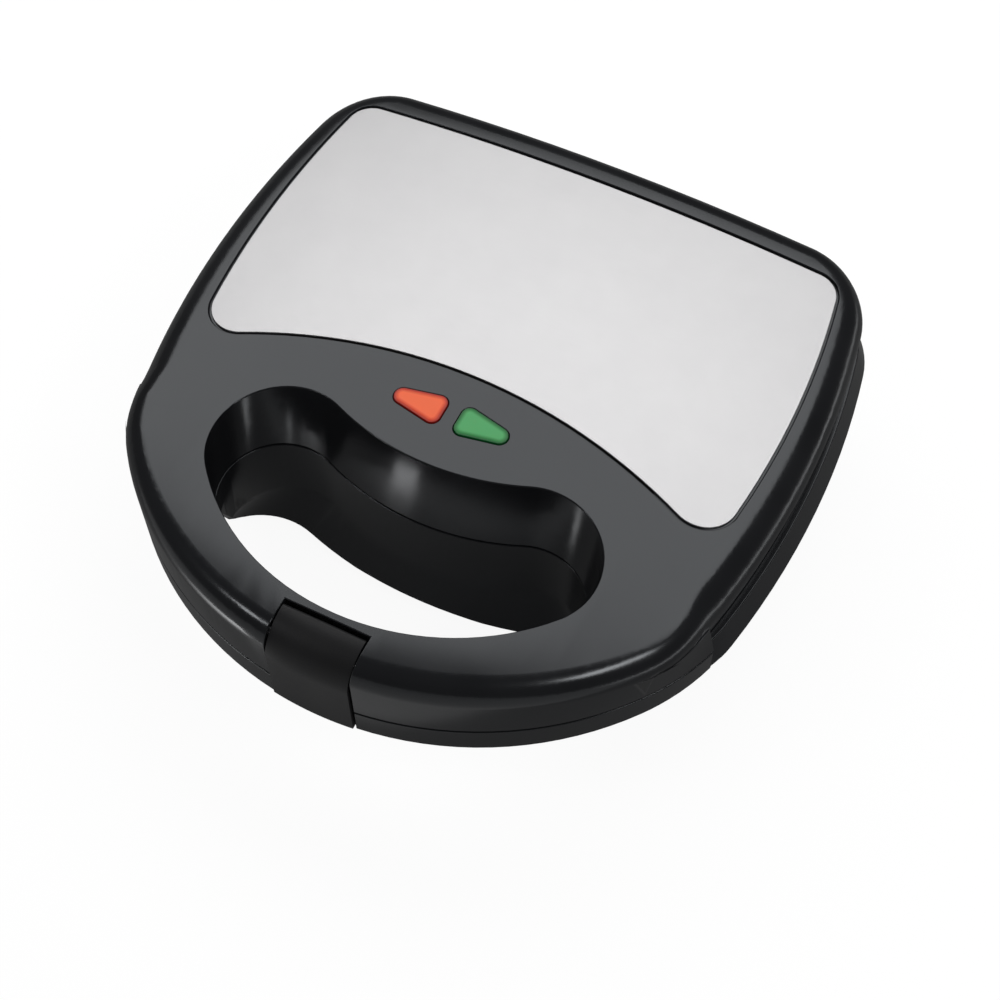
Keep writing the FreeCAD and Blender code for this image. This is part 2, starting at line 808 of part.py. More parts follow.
def make_reflector(label, low):
    """A thin steel sheet behind the element that throws its heat at the plate."""
    margin = size("reflector_margin")
    half = ELEMENT_HALF + margin
    reach = size("element_turn_radius") + size("element_radius") + margin
    sheet_box = box(f"{label}_sheet", (-half, SLICE_MIDDLE - reach + FORWARD, low),
                    (half, SLICE_MIDDLE + reach + FORWARD, low + size("reflector_thick")))
    holes = rods(f"{label}_holes", screw_places(), size("boss_radius") + size("plate_seat_gap"),
                 low - OVER, low + OVER)
    middle = rods(f"{label}_middle", [plan(ZERO, SLICE_MIDDLE)], size("thermostat_radius") + WALL,
                  low - OVER, low + OVER)
    return finish(label, cut(f"{label}_cut", sheet_box, [holes, middle]))


def make_screws(label, head_low, head_high, tip):
    """The two pan-head screws that hold a plate."""
    heads = rods(f"{label}_heads", screw_places(), size("screw_head_radius"), head_low, head_high)
    low, high = (head_low, tip) if tip.value > head_high.value else (tip, head_high)
    shanks = rods(f"{label}_shanks", screw_places(), size("screw_radius"), low, high)
    return finish(label, fuse(f"{label}_whole", [heads, shanks]))


def clip_box(name, back, low, high, spare):
    """The space that the clip takes in the handle's front."""
    half = size("clip_half_width") + spare
    return box(name, (-half, FORWARD - FRONT_RADIUS - OVER, low), (half, back, high))


CLIP_BACK_RADIUS = FRONT_RADIUS + size("clip_proud") - size("clip_thick")
PIVOT_Y = FORWARD - FRONT_RADIUS + size("clip_pivot_setback")
PIVOT_Z = CROWN - size("clip_pivot_depth")
FLAP_Y = FORWARD - FRONT_RADIUS + size("clip_flap_depth")
CLIP_END = GRIP_LOW + size("clip_end_rise")
CLIP_WELL = CROWN - size("clip_well_depth")


def clip_channel(name, low, high):
    """The shallow channel down the handle's front that the clip lies in."""
    half = size("clip_half_width") + size("clip_side_gap")
    block = box(f"{name}_block", (-half, FORWARD - FRONT_RADIUS - OVER, low),
                (half, FORWARD - FRONT_RADIUS + size("clip_pivot_setback"), high))
    keep = rods(f"{name}_keep", [plan(ZERO, ZERO)], CLIP_BACK_RADIUS - size("clip_back_gap"),
                low - OVER, high + OVER)
    return cut(name, block, [keep])


def handle_trough(name, bend, spare, low, high):
    """The hollow of a handle half, left solid around the clip."""
    disc = slab(f"{name}_disc", handle_outline(-(size("handle_wall") + spare), bend), low, high)
    hand = slab(f"{name}_hand", hole_outline(1, size("handle_wall") + spare), low - OVER, high + OVER)
    half = size("clip_half_width") + size("clip_side_gap") + size("latch_pin_bearing") + spare
    middle = box(f"{name}_middle", (-half, FORWARD - FRONT_RADIUS - OVER, low - OVER),
                 (half, FORWARD, high + OVER))
    back = box(f"{name}_back", (-FRONT_RADIUS, FORWARD - LOBE_REACH - spare, low - OVER),
               (FRONT_RADIUS, FORWARD, high + OVER))
    return cut(name, disc, [hand, middle, back])


def bowl_foot_levels():
    """The bowl's lowest levels, which turn its wall into its floor in a quarter round."""
    turn = size("base_foot_round")
    levels = []
    for step in range(FOOT_STEPS + 1):
        angle = as_size(90 * step / FOOT_STEPS)
        inset = size("base_floor_inset") + turn * (1 - sine(angle))
        levels.append((base_outline(-inset), FLOOR + turn * (1 - cosine(angle))))
    return levels


def make_base():
    """The base housing: bowl, rim, lower handle, hinge ears and the seat of the plate."""
    bowl = tapered("base_bowl", bowl_foot_levels() + [
        (base_outline(size("base_bulge_grow")), BULGE),
        (base_outline(size("base_rim_grow")), RIM)])
    grip = slab("base_grip", handle_outline(ZERO, size("handle_bend_radius")), GRIP_LOW, RIM)
    ears = hinge_ears()
    outside = fuse("base_outside", [bowl, grip] + ears)
    inner_top = RIM - size("plate_flange_thick") - size("plate_ledge_thick")
    inner_floor = FLOOR + WALL
    lean = (size("base_bulge_grow") + size("base_floor_inset")) / (BULGE - FLOOR)
    cavity = tapered("base_cavity", [
        (base_outline(lean * WALL - size("base_floor_inset") - WALL), inner_floor),
        (base_outline(size("base_bulge_grow") - WALL), BULGE),
        (base_outline(size("base_rim_grow") - WALL), inner_top)])
    hand_wall = tapered("base_hand_wall", base_hole_levels(WALL))
    front_wall = box("base_front_wall", (-(FRONT_RADIUS * 2), FORWARD - FRONT_RADIUS * 2, ZERO),
                     (FRONT_RADIUS * 2, FORWARD - LOBE_REACH + WALL, TOP))
    bosses = rods("base_bosses", screw_places(), size("boss_radius"), FLOOR, PLATE_BACK_DOWN)
    room = cut("base_room", cavity, [hand_wall, front_wall, bosses])
    opening = slab("base_opening", plate_outline(size("plate_seat_gap") - size("plate_flange")),
                   inner_top - OVER, RIM + OVER)
    seat = slab("base_seat", plate_outline(size("plate_seat_gap")), RIM - size("plate_flange_thick"), RIM + OVER)
    hand = tapered("base_hand", base_hole_levels(ZERO))
    under_grip = box("base_under_grip", (-(FRONT_RADIUS * 2), FORWARD - FRONT_RADIUS * 2, ZERO),
                     (FRONT_RADIUS * 2, FORWARD - size("base_front_reach"), GRIP_LOW))
    trough = handle_trough("base_trough", size("handle_bend_radius"), ZERO, GRIP_LOW + size("handle_floor"),
                           RIM + OVER)
    channel = clip_channel("base_channel", GRIP_LOW - OVER, RIM + OVER)
    screw_gap = size("screw_radius") + size("screw_clearance")
    screw_holes = rods("base_screw_holes", screw_places(), screw_gap, ZERO, PLATE_BACK_DOWN + OVER)
    counterbores = rods("base_counterbores", screw_places(), size("screw_head_radius") + size("screw_clearance"),
                        ZERO, FLOOR + size("boss_counterbore"))
    spigots = rods("base_spigots", foot_places(), size("foot_spigot_radius"), ZERO,
                   FLOOR + size("foot_spigot_length"))
    inlet = bar("base_inlet_hole", (ZERO, FORWARD + PLATE_REAR - OVER, INLET_HEIGHT),
                size("rear_reach"), size("inlet_radius"), "y")
    pins = hinge_bores("base_pin_bores", size("hinge_pin_radius"))
    tools = [room, opening, seat, hand, under_grip, trough, channel, screw_holes, counterbores, spigots, inlet]
    return finish("base_housing", cut("base_housing_cut", outside, tools + pins))


def hinge_spans():
    """The X spans of the ears and knuckles of the right-hand hinge."""
    half = size("knuckle_width") / 2
    gap = size("hinge_side_gap")
    middle = rear_corner(ZERO)[1].centre[0] - size("hinge_corner_gap") - size("ear_width") - gap - half
    inner_ear = (middle - half - gap - size("ear_width"), middle - half - gap)
    outer_ear = (middle + half + gap, middle + half + gap + size("ear_width"))
    return inner_ear, (middle - half, middle + half), outer_ear


def both_sides(x_span):
    """A span on the right and its mirror image on the left."""
    return [x_span, (-x_span[1], -x_span[0])]


def hinge_ears():
    """Round ears on the rear of the base that carry the hinge pins."""
    shapes = []
    inner_ear, _, outer_ear = hinge_spans()
    wall_y = FORWARD + size("rear_reach") - WALL
    for place, x_span in enumerate(both_sides(inner_ear) + both_sides(outer_ear)):
        width = x_span[1] - x_span[0]
        shapes.append(bar(f"ear_round{place}", (x_span[0], HINGE_Y, HINGE_HEIGHT), width, KNUCKLE, "x"))
        shapes.append(box(f"ear_web{place}", (x_span[0], wall_y, HINGE_HEIGHT - KNUCKLE),
                          (x_span[1], HINGE_Y, RIM)))
    return shapes


def hinge_bores(name, radius):
    """Holes along both hinge pins."""
    inner_ear, _, outer_ear = hinge_spans()
    return [bar(f"{name}{place}", (x_span[0], HINGE_Y, HINGE_HEIGHT), x_span[1] - x_span[0], radius, "x")
            for place, x_span in enumerate(both_sides((inner_ear[0], outer_ear[1])))]


def make_hinge_pins():
    """A steel pin on each side, pressed in the base's ears."""
    inner_ear, _, outer_ear = hinge_spans()
    for side, x_span in zip(("right", "left"), both_sides((inner_ear[0], outer_ear[1]))):
        label = f"hinge_pin_{side}"
        finish(label, bar(f"{label}_bar", (x_span[0], HINGE_Y, HINGE_HEIGHT), x_span[1] - x_span[0],
                          size("hinge_pin_radius"), "x"))


def lid_knuckles():
    """Knuckles on the rear of the lid that turn on the hinge pins."""
    shapes = []
    wall_y = FORWARD + size("rear_reach") - size("lid_skirt_inset") - WALL
    for place, x_span in enumerate(both_sides(hinge_spans()[1])):
        width = x_span[1] - x_span[0]
        shapes.append(bar(f"knuckle_round{place}", (x_span[0], HINGE_Y, HINGE_HEIGHT), width, KNUCKLE, "x"))
        shapes.append(box(f"knuckle_web{place}", (x_span[0], wall_y, LIP),
                          (x_span[1], HINGE_Y, HINGE_HEIGHT + KNUCKLE)))
    return shapes


def on_round_bar(edge, radius):
    """Whether an edge lies on a round bar about the crown's axis."""
    axis_height = CROWN.value - size("crown_radius").value
    for share in EDGE_TEST_SHARES:
        point = edge.valueAt(edge.FirstParameter + (edge.LastParameter - edge.FirstParameter) * share)
        if abs(math.hypot(point.x, point.z - axis_height) - radius.value) > SAME_PLACE:
            return False
    return True


def on_crown(edge):
    """Whether an edge lies on the lid's crowned top."""
    return on_round_bar(edge, size("crown_radius"))


def under_crown(edge):
    """Whether an edge lies on the inner side of the crowned top."""
    return on_round_bar(edge, size("crown_radius") - WALL)


def make_lid():
    """The lid cover: crowned top, skirt round the hand hole, upper handle and knuckles."""
    blank = slab("lid_blank", lid_outline(ZERO), LIP, TOP)
    domed = common("lid_domed", [blank, crown("lid_crown", ZERO)])
    domed_round = rounded_by_place("lid_domed_round", domed, lid_edge_radii(ZERO), on_crown)
    skirted = cut("lid_skirted", domed_round, [lid_skirt_step()])
    bend = size("handle_bend_radius")
    tight_bend = bend - size("handle_bend_tighten")
    grip = tapered("lid_grip", [
        (handle_outline(ZERO, bend), LIP),
        (handle_outline(ZERO, tight_bend), LIP + size("handle_shoulder_rise")),
        (handle_outline(-size("handle_blend_inset"), tight_bend), LIP + size("handle_blend_rise"))])
    outside = fuse("lid_outside", [skirted, grip] + lid_knuckles())
    inner_low = LIP + size("plate_flange_thick") + size("plate_ledge_thick")
    side_wall = WALL + size("lid_skirt_inset")
    space = slab("lid_space", lid_outline(-side_wall), inner_low, TOP)
    lowered = common("lid_lowered", [space, crown("lid_inner_crown", WALL)])
    lowered_round = rounded_by_place("lid_lowered_round", lowered, lid_edge_radii(-side_wall), under_crown)
    hand_wall = hand_plug("lid_hand_wall", WALL)
    front_wall = box("lid_front_wall", (-(FRONT_RADIUS * 2), FORWARD - FRONT_RADIUS * 2, ZERO),
                     (FRONT_RADIUS * 2, FORWARD - LOBE_REACH + WALL, TOP))
    bosses = rods("lid_bosses", screw_places(), size("boss_radius"), PLATE_BACK_UP, TOP)
    room = cut("lid_room", lowered_round, [hand_wall, front_wall, bosses])
    opening = slab("lid_opening", plate_outline(size("plate_seat_gap") - size("plate_flange")),
                   LIP - OVER, inner_low + OVER)
    seat = slab("lid_seat", plate_outline(size("plate_seat_gap")), LIP - OVER, LIP + size("plate_flange_thick"))
    hand = hand_plug("lid_hand", ZERO)
    recess = cut("lid_panel_recess", slab("lid_panel_slab", panel_outline(size("panel_gap")), LIP, TOP),
                 [crown("lid_panel_floor", size("panel_recess"))])
    windows = [slab(f"lid_window_{side}", path, PLATE_BACK_UP + ELEMENT_THICK, TOP)
               for side, path in lens_paths(size("lens_gap"))]
    trough = handle_trough("lid_trough", size("shoulder_radius"), ZERO, LIP - OVER, CROWN - size("handle_roof"))
    channel = clip_channel("lid_channel", LIP - OVER, CLIP_WELL + OVER)
    well = clip_box("lid_well", FLAP_Y + size("clip_flap_gap"), CLIP_WELL, TOP, size("clip_side_gap"))
    pin_half = size("clip_half_width") + size("clip_side_gap") + size("latch_pin_bearing")
    latch_bore = bar("lid_latch_bore", (-pin_half, PIVOT_Y, PIVOT_Z), pin_half * 2, size("latch_pin_radius"), "x")
    screw_holes = rods("lid_screw_holes", screw_places(), size("screw_radius") + size("screw_clearance"),
                       PLATE_BACK_UP - OVER, TOP)
    counterbores = rods("lid_counterbores", screw_places(), size("screw_head_radius") + size("screw_clearance"),
                        SCREW_SEAT_UP, TOP)
    pins = hinge_bores("lid_pin_bores", size("hinge_pin_radius") + size("hinge_running_gap"))
    tools = [room, opening, seat, hand, recess, trough, channel, well, latch_bore, screw_holes, counterbores]
    whole = cut("lid_cover_cut", outside, tools + windows + pins)
    return finish("lid_cover", whole)


def lid_edge_radii(grow):
    """The radius of the lid's upper edge at a place: larger along the bowed sides."""
    side_radius = (size("side_radius") + grow).value
    wide = (size("lid_side_round") + grow).value
    narrow = (size("lid_edge_round") + grow).value
    middle_y = (SIDE[1] + FORWARD).value

    def radius_at(point):
        """The radius at one end of an edge."""
        reach = math.hypot(abs(point.x) - SIDE[0].value, point.y - middle_y)
        return wide if abs(reach - side_radius) < SAME_PLACE else narrow

    return radius_at


def lid_skirt_step():
    """What is taken off the lid's side and rear below its rounded edge."""
    top = LIP + size("lid_skirt_height")
    outer = slab("lid_step_outer", lid_outline(OVER), LIP - OVER, top)
    inner = slab("lid_step_inner", lid_outline(-size("lid_skirt_inset")), LIP - OVER * 2, top + OVER)
    handle = box("lid_step_handle", (-(FRONT_RADIUS * 2), FORWARD - FRONT_RADIUS * 2, ZERO),
                 (FRONT_RADIUS * 2, FORWARD - size("handle_end_reach"), TOP))
    return cut("lid_step", outer, [inner, handle])


SCREW_SEAT_UP = CROWN - size("panel_recess") - WALL - size("screw_head_thick") - size("wall") / 2


def hand_plug(name, grow):
    """The hand hole through the lid, leaning forwards on its way down."""
    over_share = OVER / (CROWN - LIP)
    return tapered(name, [(hole_outline(1 + over_share, grow), LIP - OVER),
                          (hole_outline(-over_share, grow), TOP)])


def lens_paths(grow):
    """The outlines of the left and right lens."""
    right = lens_outline(grow)
    return [("left", mirrored_path(right)), ("right", right)]


def make_lenses():
    """Clear lenses that fill their windows, each with a flange under the lid's top."""
    top_inside = CROWN - WALL - size("plate_seat_gap")
    flange_low = top_inside - size("lens_flange_thick")
    dome = crown("lens_dome", -size("lens_proud"))
    flanges = dict(lens_paths(size("lens_flange")))
    for label, (side, path) in zip(("power_lens", "ready_lens"), lens_paths(ZERO)):
        plug = common(f"{label}_plug", [slab(f"{label}_slab", path, flange_low, TOP), dome])
        flange = slab(f"{label}_flange", flanges[side], flange_low, top_inside)
        finish(label, fuse(f"{label}_whole", [plug, flange]))


def make_lamps():
    """Two signal lamps on a small board that hangs from the lid's top."""
    middle = size("lens_inner_side") + size("lens_length") / 2
    y = -size("lens_reach_front")
    flange_low = CROWN - WALL - size("plate_seat_gap") - size("lens_flange_thick")
    lamp_high = flange_low - size("plate_seat_gap")
    board_high = lamp_high - size("lamp_length")
    board_low = board_high - size("lamp_board_thick")
    half_x = size("lens_inner_side") + size("lens_length") + size("lens_flange") + size("lamp_board_margin") * 2
    half_y = size("lens_wide_half") + size("lamp_board_margin")
    board = box("lamp_holder_board", (-half_x, y - half_y + FORWARD, board_low),
                (half_x, y + half_y + FORWARD, board_high))
    post_x = half_x - size("lamp_board_margin")
    posts = rods("lamp_holder_posts", [plan(-post_x, y), plan(post_x, y)], size("lamp_post_radius"),
                 board_low, TOP)
    hung = common("lamp_holder_hung", [posts, crown("lamp_holder_crown", WALL)])
    finish("lamp_holder", fuse("lamp_holder_whole", [board, hung]))
    for label, side in (("power_lamp", -1), ("ready_lamp", 1)):
        finish(label, rods(f"{label}_glass", [plan(middle * side, y)], size("lamp_radius"), board_high, lamp_high))


def make_panel():
    """The steel decor panel, bent to the lid's crown."""
    blank = slab("panel_blank", panel_outline(ZERO), LIP, TOP)
    bent = common("panel_bent", [blank, crown("panel_top", size("panel_sink"))])
    finish("steel_panel", cut("steel_panel_cut", bent, [crown("panel_under", size("panel_recess"))]))


def make_liners():
    """Flat covers that close the hollow handle halves."""
    gap = size("liner_gap")
    thick = size("liner_thick")
    finish("lid_handle_liner", handle_trough("lid_liner", size("shoulder_radius"), gap, LIP, LIP + thick))
    finish("base_handle_liner", handle_trough("base_liner", size("handle_bend_radius"), gap, RIM - thick, RIM))


def make_clip():
    """The front clip: face, top flap and two ears that turn on the latch pin."""
    half = size("clip_half_width")
    outer = FRONT_RADIUS + size("clip_proud")
    disc = rods("clip_disc", [plan(ZERO, ZERO)], outer, CLIP_END, TOP)
    dome = crown("clip_dome", ZERO)
    band = box("clip_band", (-half, FORWARD - outer - OVER, CLIP_END), (half, FLAP_Y, TOP))
    blank = common("clip_blank", [disc, dome, band])
    blank_round = rounded("clip_blank_round", blank, size("clip_top_round"), clip_front_top)
    outside = rounded("clip_outside", blank_round, size("clip_rear_round"), clip_rear_top)
    inner_disc = rods("clip_inner_disc", [plan(ZERO, ZERO)], CLIP_BACK_RADIUS, ZERO, TOP)
    inner_dome = crown("clip_inner_dome", size("clip_thick"))
    hollow = common("clip_hollow", [inner_disc, inner_dome])
    hollow_round = rounded("clip_hollow_round", hollow, size("clip_top_round") - size("clip_thick"), under_clip_top)
    shell = cut("clip_shell", outside, [hollow_round])
    ears = []
    ear = size("clip_ear_thick")
    for place, x_span in enumerate(both_sides((half - ear, half))):
        ears.append(bar(f"clip_ear{place}", (x_span[0], PIVOT_Y, PIVOT_Z), ear, size("clip_ear_radius"), "x"))
    whole = fuse("clip_whole", [shell] + ears)
    inside = common("clip_inside", [whole, outside])
    bore = bar("clip_bore", (-half, PIVOT_Y, PIVOT_Z), half * 2,
               size("latch_pin_radius") + size("hinge_running_gap"), "x")
    finish("latch_clip", cut("latch_clip_cut", inside, [bore]))
    pin_half = half + size("clip_side_gap") + size("latch_pin_bearing")
    finish("latch_pin", bar("latch_pin_bar", (-pin_half, PIVOT_Y, PIVOT_Z), pin_half * 2,
                            size("latch_pin_radius"), "x"))


def clip_front_top(edge):
    """Whether an edge is the clip's upper front edge."""
    if not on_crown(edge):
        return False
    return edge.BoundBox.YMax < FLAP_Y.value - size("clip_thick").value and edge.BoundBox.XLength > WALL.value


def clip_rear_top(edge):
    """Whether an edge is the upper rear edge of the clip's flap."""
    return on_crown(edge) and edge.BoundBox.YMin > FLAP_Y.value - SAME_PLACE


def under_clip_top(edge):
    """Whether an edge lies on the inner side of the clip's top."""
    return on_round_bar(edge, size("crown_radius") - size("clip_thick"))


def foot_places():
    """The middles of the four feet."""
    foot_side = SIDE_REACH - size("foot_side_margin")
    return [plan(foot_side * side, reach)
            for side in (-1, 1) for reach in (-size("foot_front_reach"), size("foot_rear_reach"))]


def make_feet():
    """Rubber feet with a spigot pressed in the base's floor."""
    names = ("foot_front_left", "foot_rear_left", "foot_front_right", "foot_rear_right")
    for label, place in zip(names, foot_places()):
        pad_part = rods(f"{label}_pad", [place], size("foot_radius"), ZERO, FLOOR)
        spigot = rods(f"{label}_spigot", [place], size("foot_spigot_radius"), ZERO,
                      FLOOR + size("foot_spigot_length"))
        finish(label, fuse(f"{label}_whole", [pad_part, spigot]))


def make_controls():
    """Thermostat and thermal fuse on the lower plate, terminal block on the floor."""
    back = PLATE_BACK_DOWN
    finish("thermostat", rods("thermostat_disc", [plan(ZERO, SLICE_MIDDLE)], size("thermostat_radius"),
                              back - size("thermostat_thick"), back))
    fuse_z = back - size("fuse_radius")
    finish("thermal_fuse", bar("thermal_fuse_can", (-size("fuse_side") - size("fuse_length"),
                                                    TERMINAL_Y - size("fuse_setback"), fuse_z),
                               size("fuse_length"), size("fuse_radius"), "x"))
    half = size("terminal_width") / 2
    front = TERMINAL_Y - size("terminal_depth") / 2
    low = FLOOR + WALL
    finish("terminal_block", box("terminal_block_body", (-half, front, low),
                                 (half, front + size("terminal_depth"), low + size("terminal_thick"))))


def make_inlet():
    """The cord inlet: a bush through the rear wall with a flange inside."""
    z = INLET_HEIGHT
    radius = size("inlet_radius")
    share = (z - FLOOR) / (BULGE - FLOOR)
    wall_y = size("rear_reach") - size("base_floor_inset") + \
        (size("base_bulge_grow") + size("base_floor_inset")) * share + FORWARD
    lean = (size("base_bulge_grow") + size("base_floor_inset")) / (BULGE - FLOOR)
    outer_y = wall_y + lean * radius + size("inlet_flange_thick")
    inner_y = wall_y - lean * (radius + size("inlet_flange")) - WALL * 2 - size("inlet_flange_thick")
    tube = bar("inlet_tube", (ZERO, inner_y, z), outer_y - inner_y, radius, "y")
    flange = bar("inlet_flange", (ZERO, inner_y, z), size("inlet_flange_thick"),
                 radius + size("inlet_flange"), "y")
    bore = bar("inlet_bore", (ZERO, inner_y - OVER, z), outer_y - inner_y + OVER * 2,
               size("inlet_bore_radius"), "y")
    finish("cord_inlet", cut("cord_inlet_cut", fuse("inlet_solid", [tube, flange]), [bore]))


def bent_lead(points, radius, bend):
    """A round wire through points, with equal bends at its corners."""
    edges = []
    start = points[0]
    for before, corner, after in zip(points, points[1:], points[2:]):
        back = (before - corner).normalize()
        ahead = (after - corner).normalize()
        half_turn = back.getAngle(ahead) / 2
        setback = bend / math.tan(half_turn)
        first = corner + back * setback
        last = corner + ahead * setback
        middle = (back + ahead).normalize()
        inner = corner + middle * (bend / math.sin(half_turn) - bend)
        edges.append(Part.LineSegment(start, first).toShape())
        edges.append(Part.Arc(first, inner, last).toShape())
        start = last
    edges.append(Part.LineSegment(start, points[-1]).toShape())
    spine = Part.Wire(edges)
    ring = Part.Wire([Part.Circle(points[0], points[1] - points[0], radius).toShape()])
    return spine.makePipeShell([ring], True, False)


def make_base_leads():
    """Wires from the terminal block's right end and front to the lower element's pins."""
    radius = size("lead_radius").value
    bend = size("lead_bend").value
    level = (FLOOR + WALL + size("terminal_thick") / 2).value
    rear_y = TERMINAL_Y.value
    block_end = (size("terminal_width") / 2).value
    block_front = (TERMINAL_Y - size("terminal_depth") / 2).value
    front_y = (TERMINAL_Y - size("element_turn_radius") * 2).value
    pin_z = (PLATE_BACK_DOWN - size("element_radius")).value
    pin_x = (ELEMENT_HALF + size("element_pin_length")).value
    far_x = pin_x + bend * 2
    near_x = (size("lead_spacing") / 2).value
    place = FreeCAD.Vector
    rear_lead = [place(block_end, rear_y, level), place(far_x, rear_y, level),
                 place(far_x, rear_y, pin_z), place(pin_x, rear_y, pin_z)]
    front_lead = [place(near_x, block_front, level), place(near_x, front_y, level), place(far_x, front_y, level),
                  place(far_x, front_y, pin_z), place(pin_x, front_y, pin_z)]
    solids = [bent_lead(points, radius, bend) for points in (rear_lead, front_lead)]
    leads = doc.addObject("Part::Feature", "base_leads_wires")
    leads.Shape = Part.makeCompound(solids)
    finish("base_leads", leads)


def build():
    """Make every sub-part."""
    make_base()
    make_plate("lower_plate", RIM, -1)
    make_element("lower_element", PLATE_BACK_DOWN - size("element_radius"))
    make_reflector("lower_reflector", PLATE_BACK_DOWN - ELEMENT_THICK - size("reflector_gap")
                   - size("reflector_thick"))
    seat = FLOOR + size("boss_counterbore")
    make_screws("base_screws", seat - size("screw_head_thick"), seat, PLATE_BACK_DOWN + size("screw_bite"))
    make_controls()
    make_inlet()
    make_base_leads()
    make_hinge_pins()
    make_feet()
    make_lid()
    make_panel()
    make_lenses()
    make_lamps()
    make_plate("upper_plate", LIP, 1)
    make_element("upper_element", PLATE_BACK_UP + size("element_radius"))
    make_reflector("upper_reflector", PLATE_BACK_UP + ELEMENT_THICK + size("reflector_gap"))
    make_screws("lid_screws", SCREW_SEAT_UP, SCREW_SEAT_UP + size("screw_head_thick"),
                PLATE_BACK_UP - size("screw_bite"))
    make_liners()
    make_clip()


def check_and_write():
    """Stop at any failed object, then write each sub-part to its file."""
    doc.recompute()
    for item in doc.Objects:
        if {"Invalid", "Error"} & set(item.State):
            raise RuntimeError(f"{item.Name} ({item.Label}) failed: {item.State}")
    os.makedirs("parts", exist_ok=True)
    for part in SUBPARTS:
        shape = part.Shape
        if shape.isNull() or not shape.isValid():
            raise RuntimeError(f"{part.Label} has no valid shape")
        shape.exportStep(f"parts/{part.Label}.step")
        bounds = shape.BoundBox
        print(f"{part.Label}: {len(shape.Solids)} solids, {shape.Volume:.0f} mm3, "
              f"x {bounds.XMin:.1f}..{bounds.XMax:.1f} y {bounds.YMin:.1f}..{bounds.YMax:.1f} "
              f"z {bounds.ZMin:.1f}..{bounds.ZMax:.1f}")


build()
check_and_write()
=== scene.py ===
"""Looks of a countertop sandwich maker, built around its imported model.

Lengths are in metres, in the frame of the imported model: +X to the right seen from the front, +Y to the
hinge at the rear, +Z up, with the origin on the table under the middle of the object.
"""

import json
import logging
import math
from dataclasses import dataclass
from enum import Enum
from typing import Callable, Dict, List, Tuple

import bpy
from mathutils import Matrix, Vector

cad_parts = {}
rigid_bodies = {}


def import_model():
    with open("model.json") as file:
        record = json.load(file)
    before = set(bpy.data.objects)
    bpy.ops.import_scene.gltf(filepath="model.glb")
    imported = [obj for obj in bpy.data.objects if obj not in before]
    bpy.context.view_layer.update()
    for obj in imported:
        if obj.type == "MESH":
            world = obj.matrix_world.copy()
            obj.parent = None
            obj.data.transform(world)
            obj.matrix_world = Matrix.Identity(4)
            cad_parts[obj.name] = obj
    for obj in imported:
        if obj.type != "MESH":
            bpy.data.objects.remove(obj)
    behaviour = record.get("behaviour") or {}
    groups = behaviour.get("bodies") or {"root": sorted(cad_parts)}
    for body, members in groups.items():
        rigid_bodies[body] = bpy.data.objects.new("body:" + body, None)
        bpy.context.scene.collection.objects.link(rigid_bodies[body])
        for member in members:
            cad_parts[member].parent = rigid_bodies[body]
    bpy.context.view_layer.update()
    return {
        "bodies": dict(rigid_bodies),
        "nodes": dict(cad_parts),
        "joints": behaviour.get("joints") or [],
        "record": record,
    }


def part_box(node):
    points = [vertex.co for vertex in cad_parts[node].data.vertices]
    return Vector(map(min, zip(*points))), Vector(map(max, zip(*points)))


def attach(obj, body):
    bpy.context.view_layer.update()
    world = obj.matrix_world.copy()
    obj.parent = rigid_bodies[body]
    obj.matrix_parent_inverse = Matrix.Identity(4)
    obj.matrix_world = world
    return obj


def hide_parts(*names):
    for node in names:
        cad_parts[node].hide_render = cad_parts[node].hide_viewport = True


Colour = Tuple[float, float, float]
Point = Tuple[float, float, float]
FaceTest = Callable[[bpy.types.MeshPolygon], bool]

LOG = logging.getLogger("sandwich_maker")
MM = 0.001
GLOW = "lens_glow"


class Slot(Enum):
    """The material slots of the record that pieces take their finish from."""

    BLACK = "black_plastic"
    MATTE = "matte_plastic"
    PANEL = "panel_steel"
    RED = "red_lens"
    GREEN = "green_lens"
    NONSTICK = "nonstick"
    ELEMENT = "element_steel"
    SHEET = "sheet_steel"
    PIN = "pin_steel"
    CERAMIC = "ceramic"
    GLASS = "lamp_glass"
    RUBBER = "rubber"
    SLEEVE = "lead_sleeve"


Materials = Dict[Slot, bpy.types.Material]


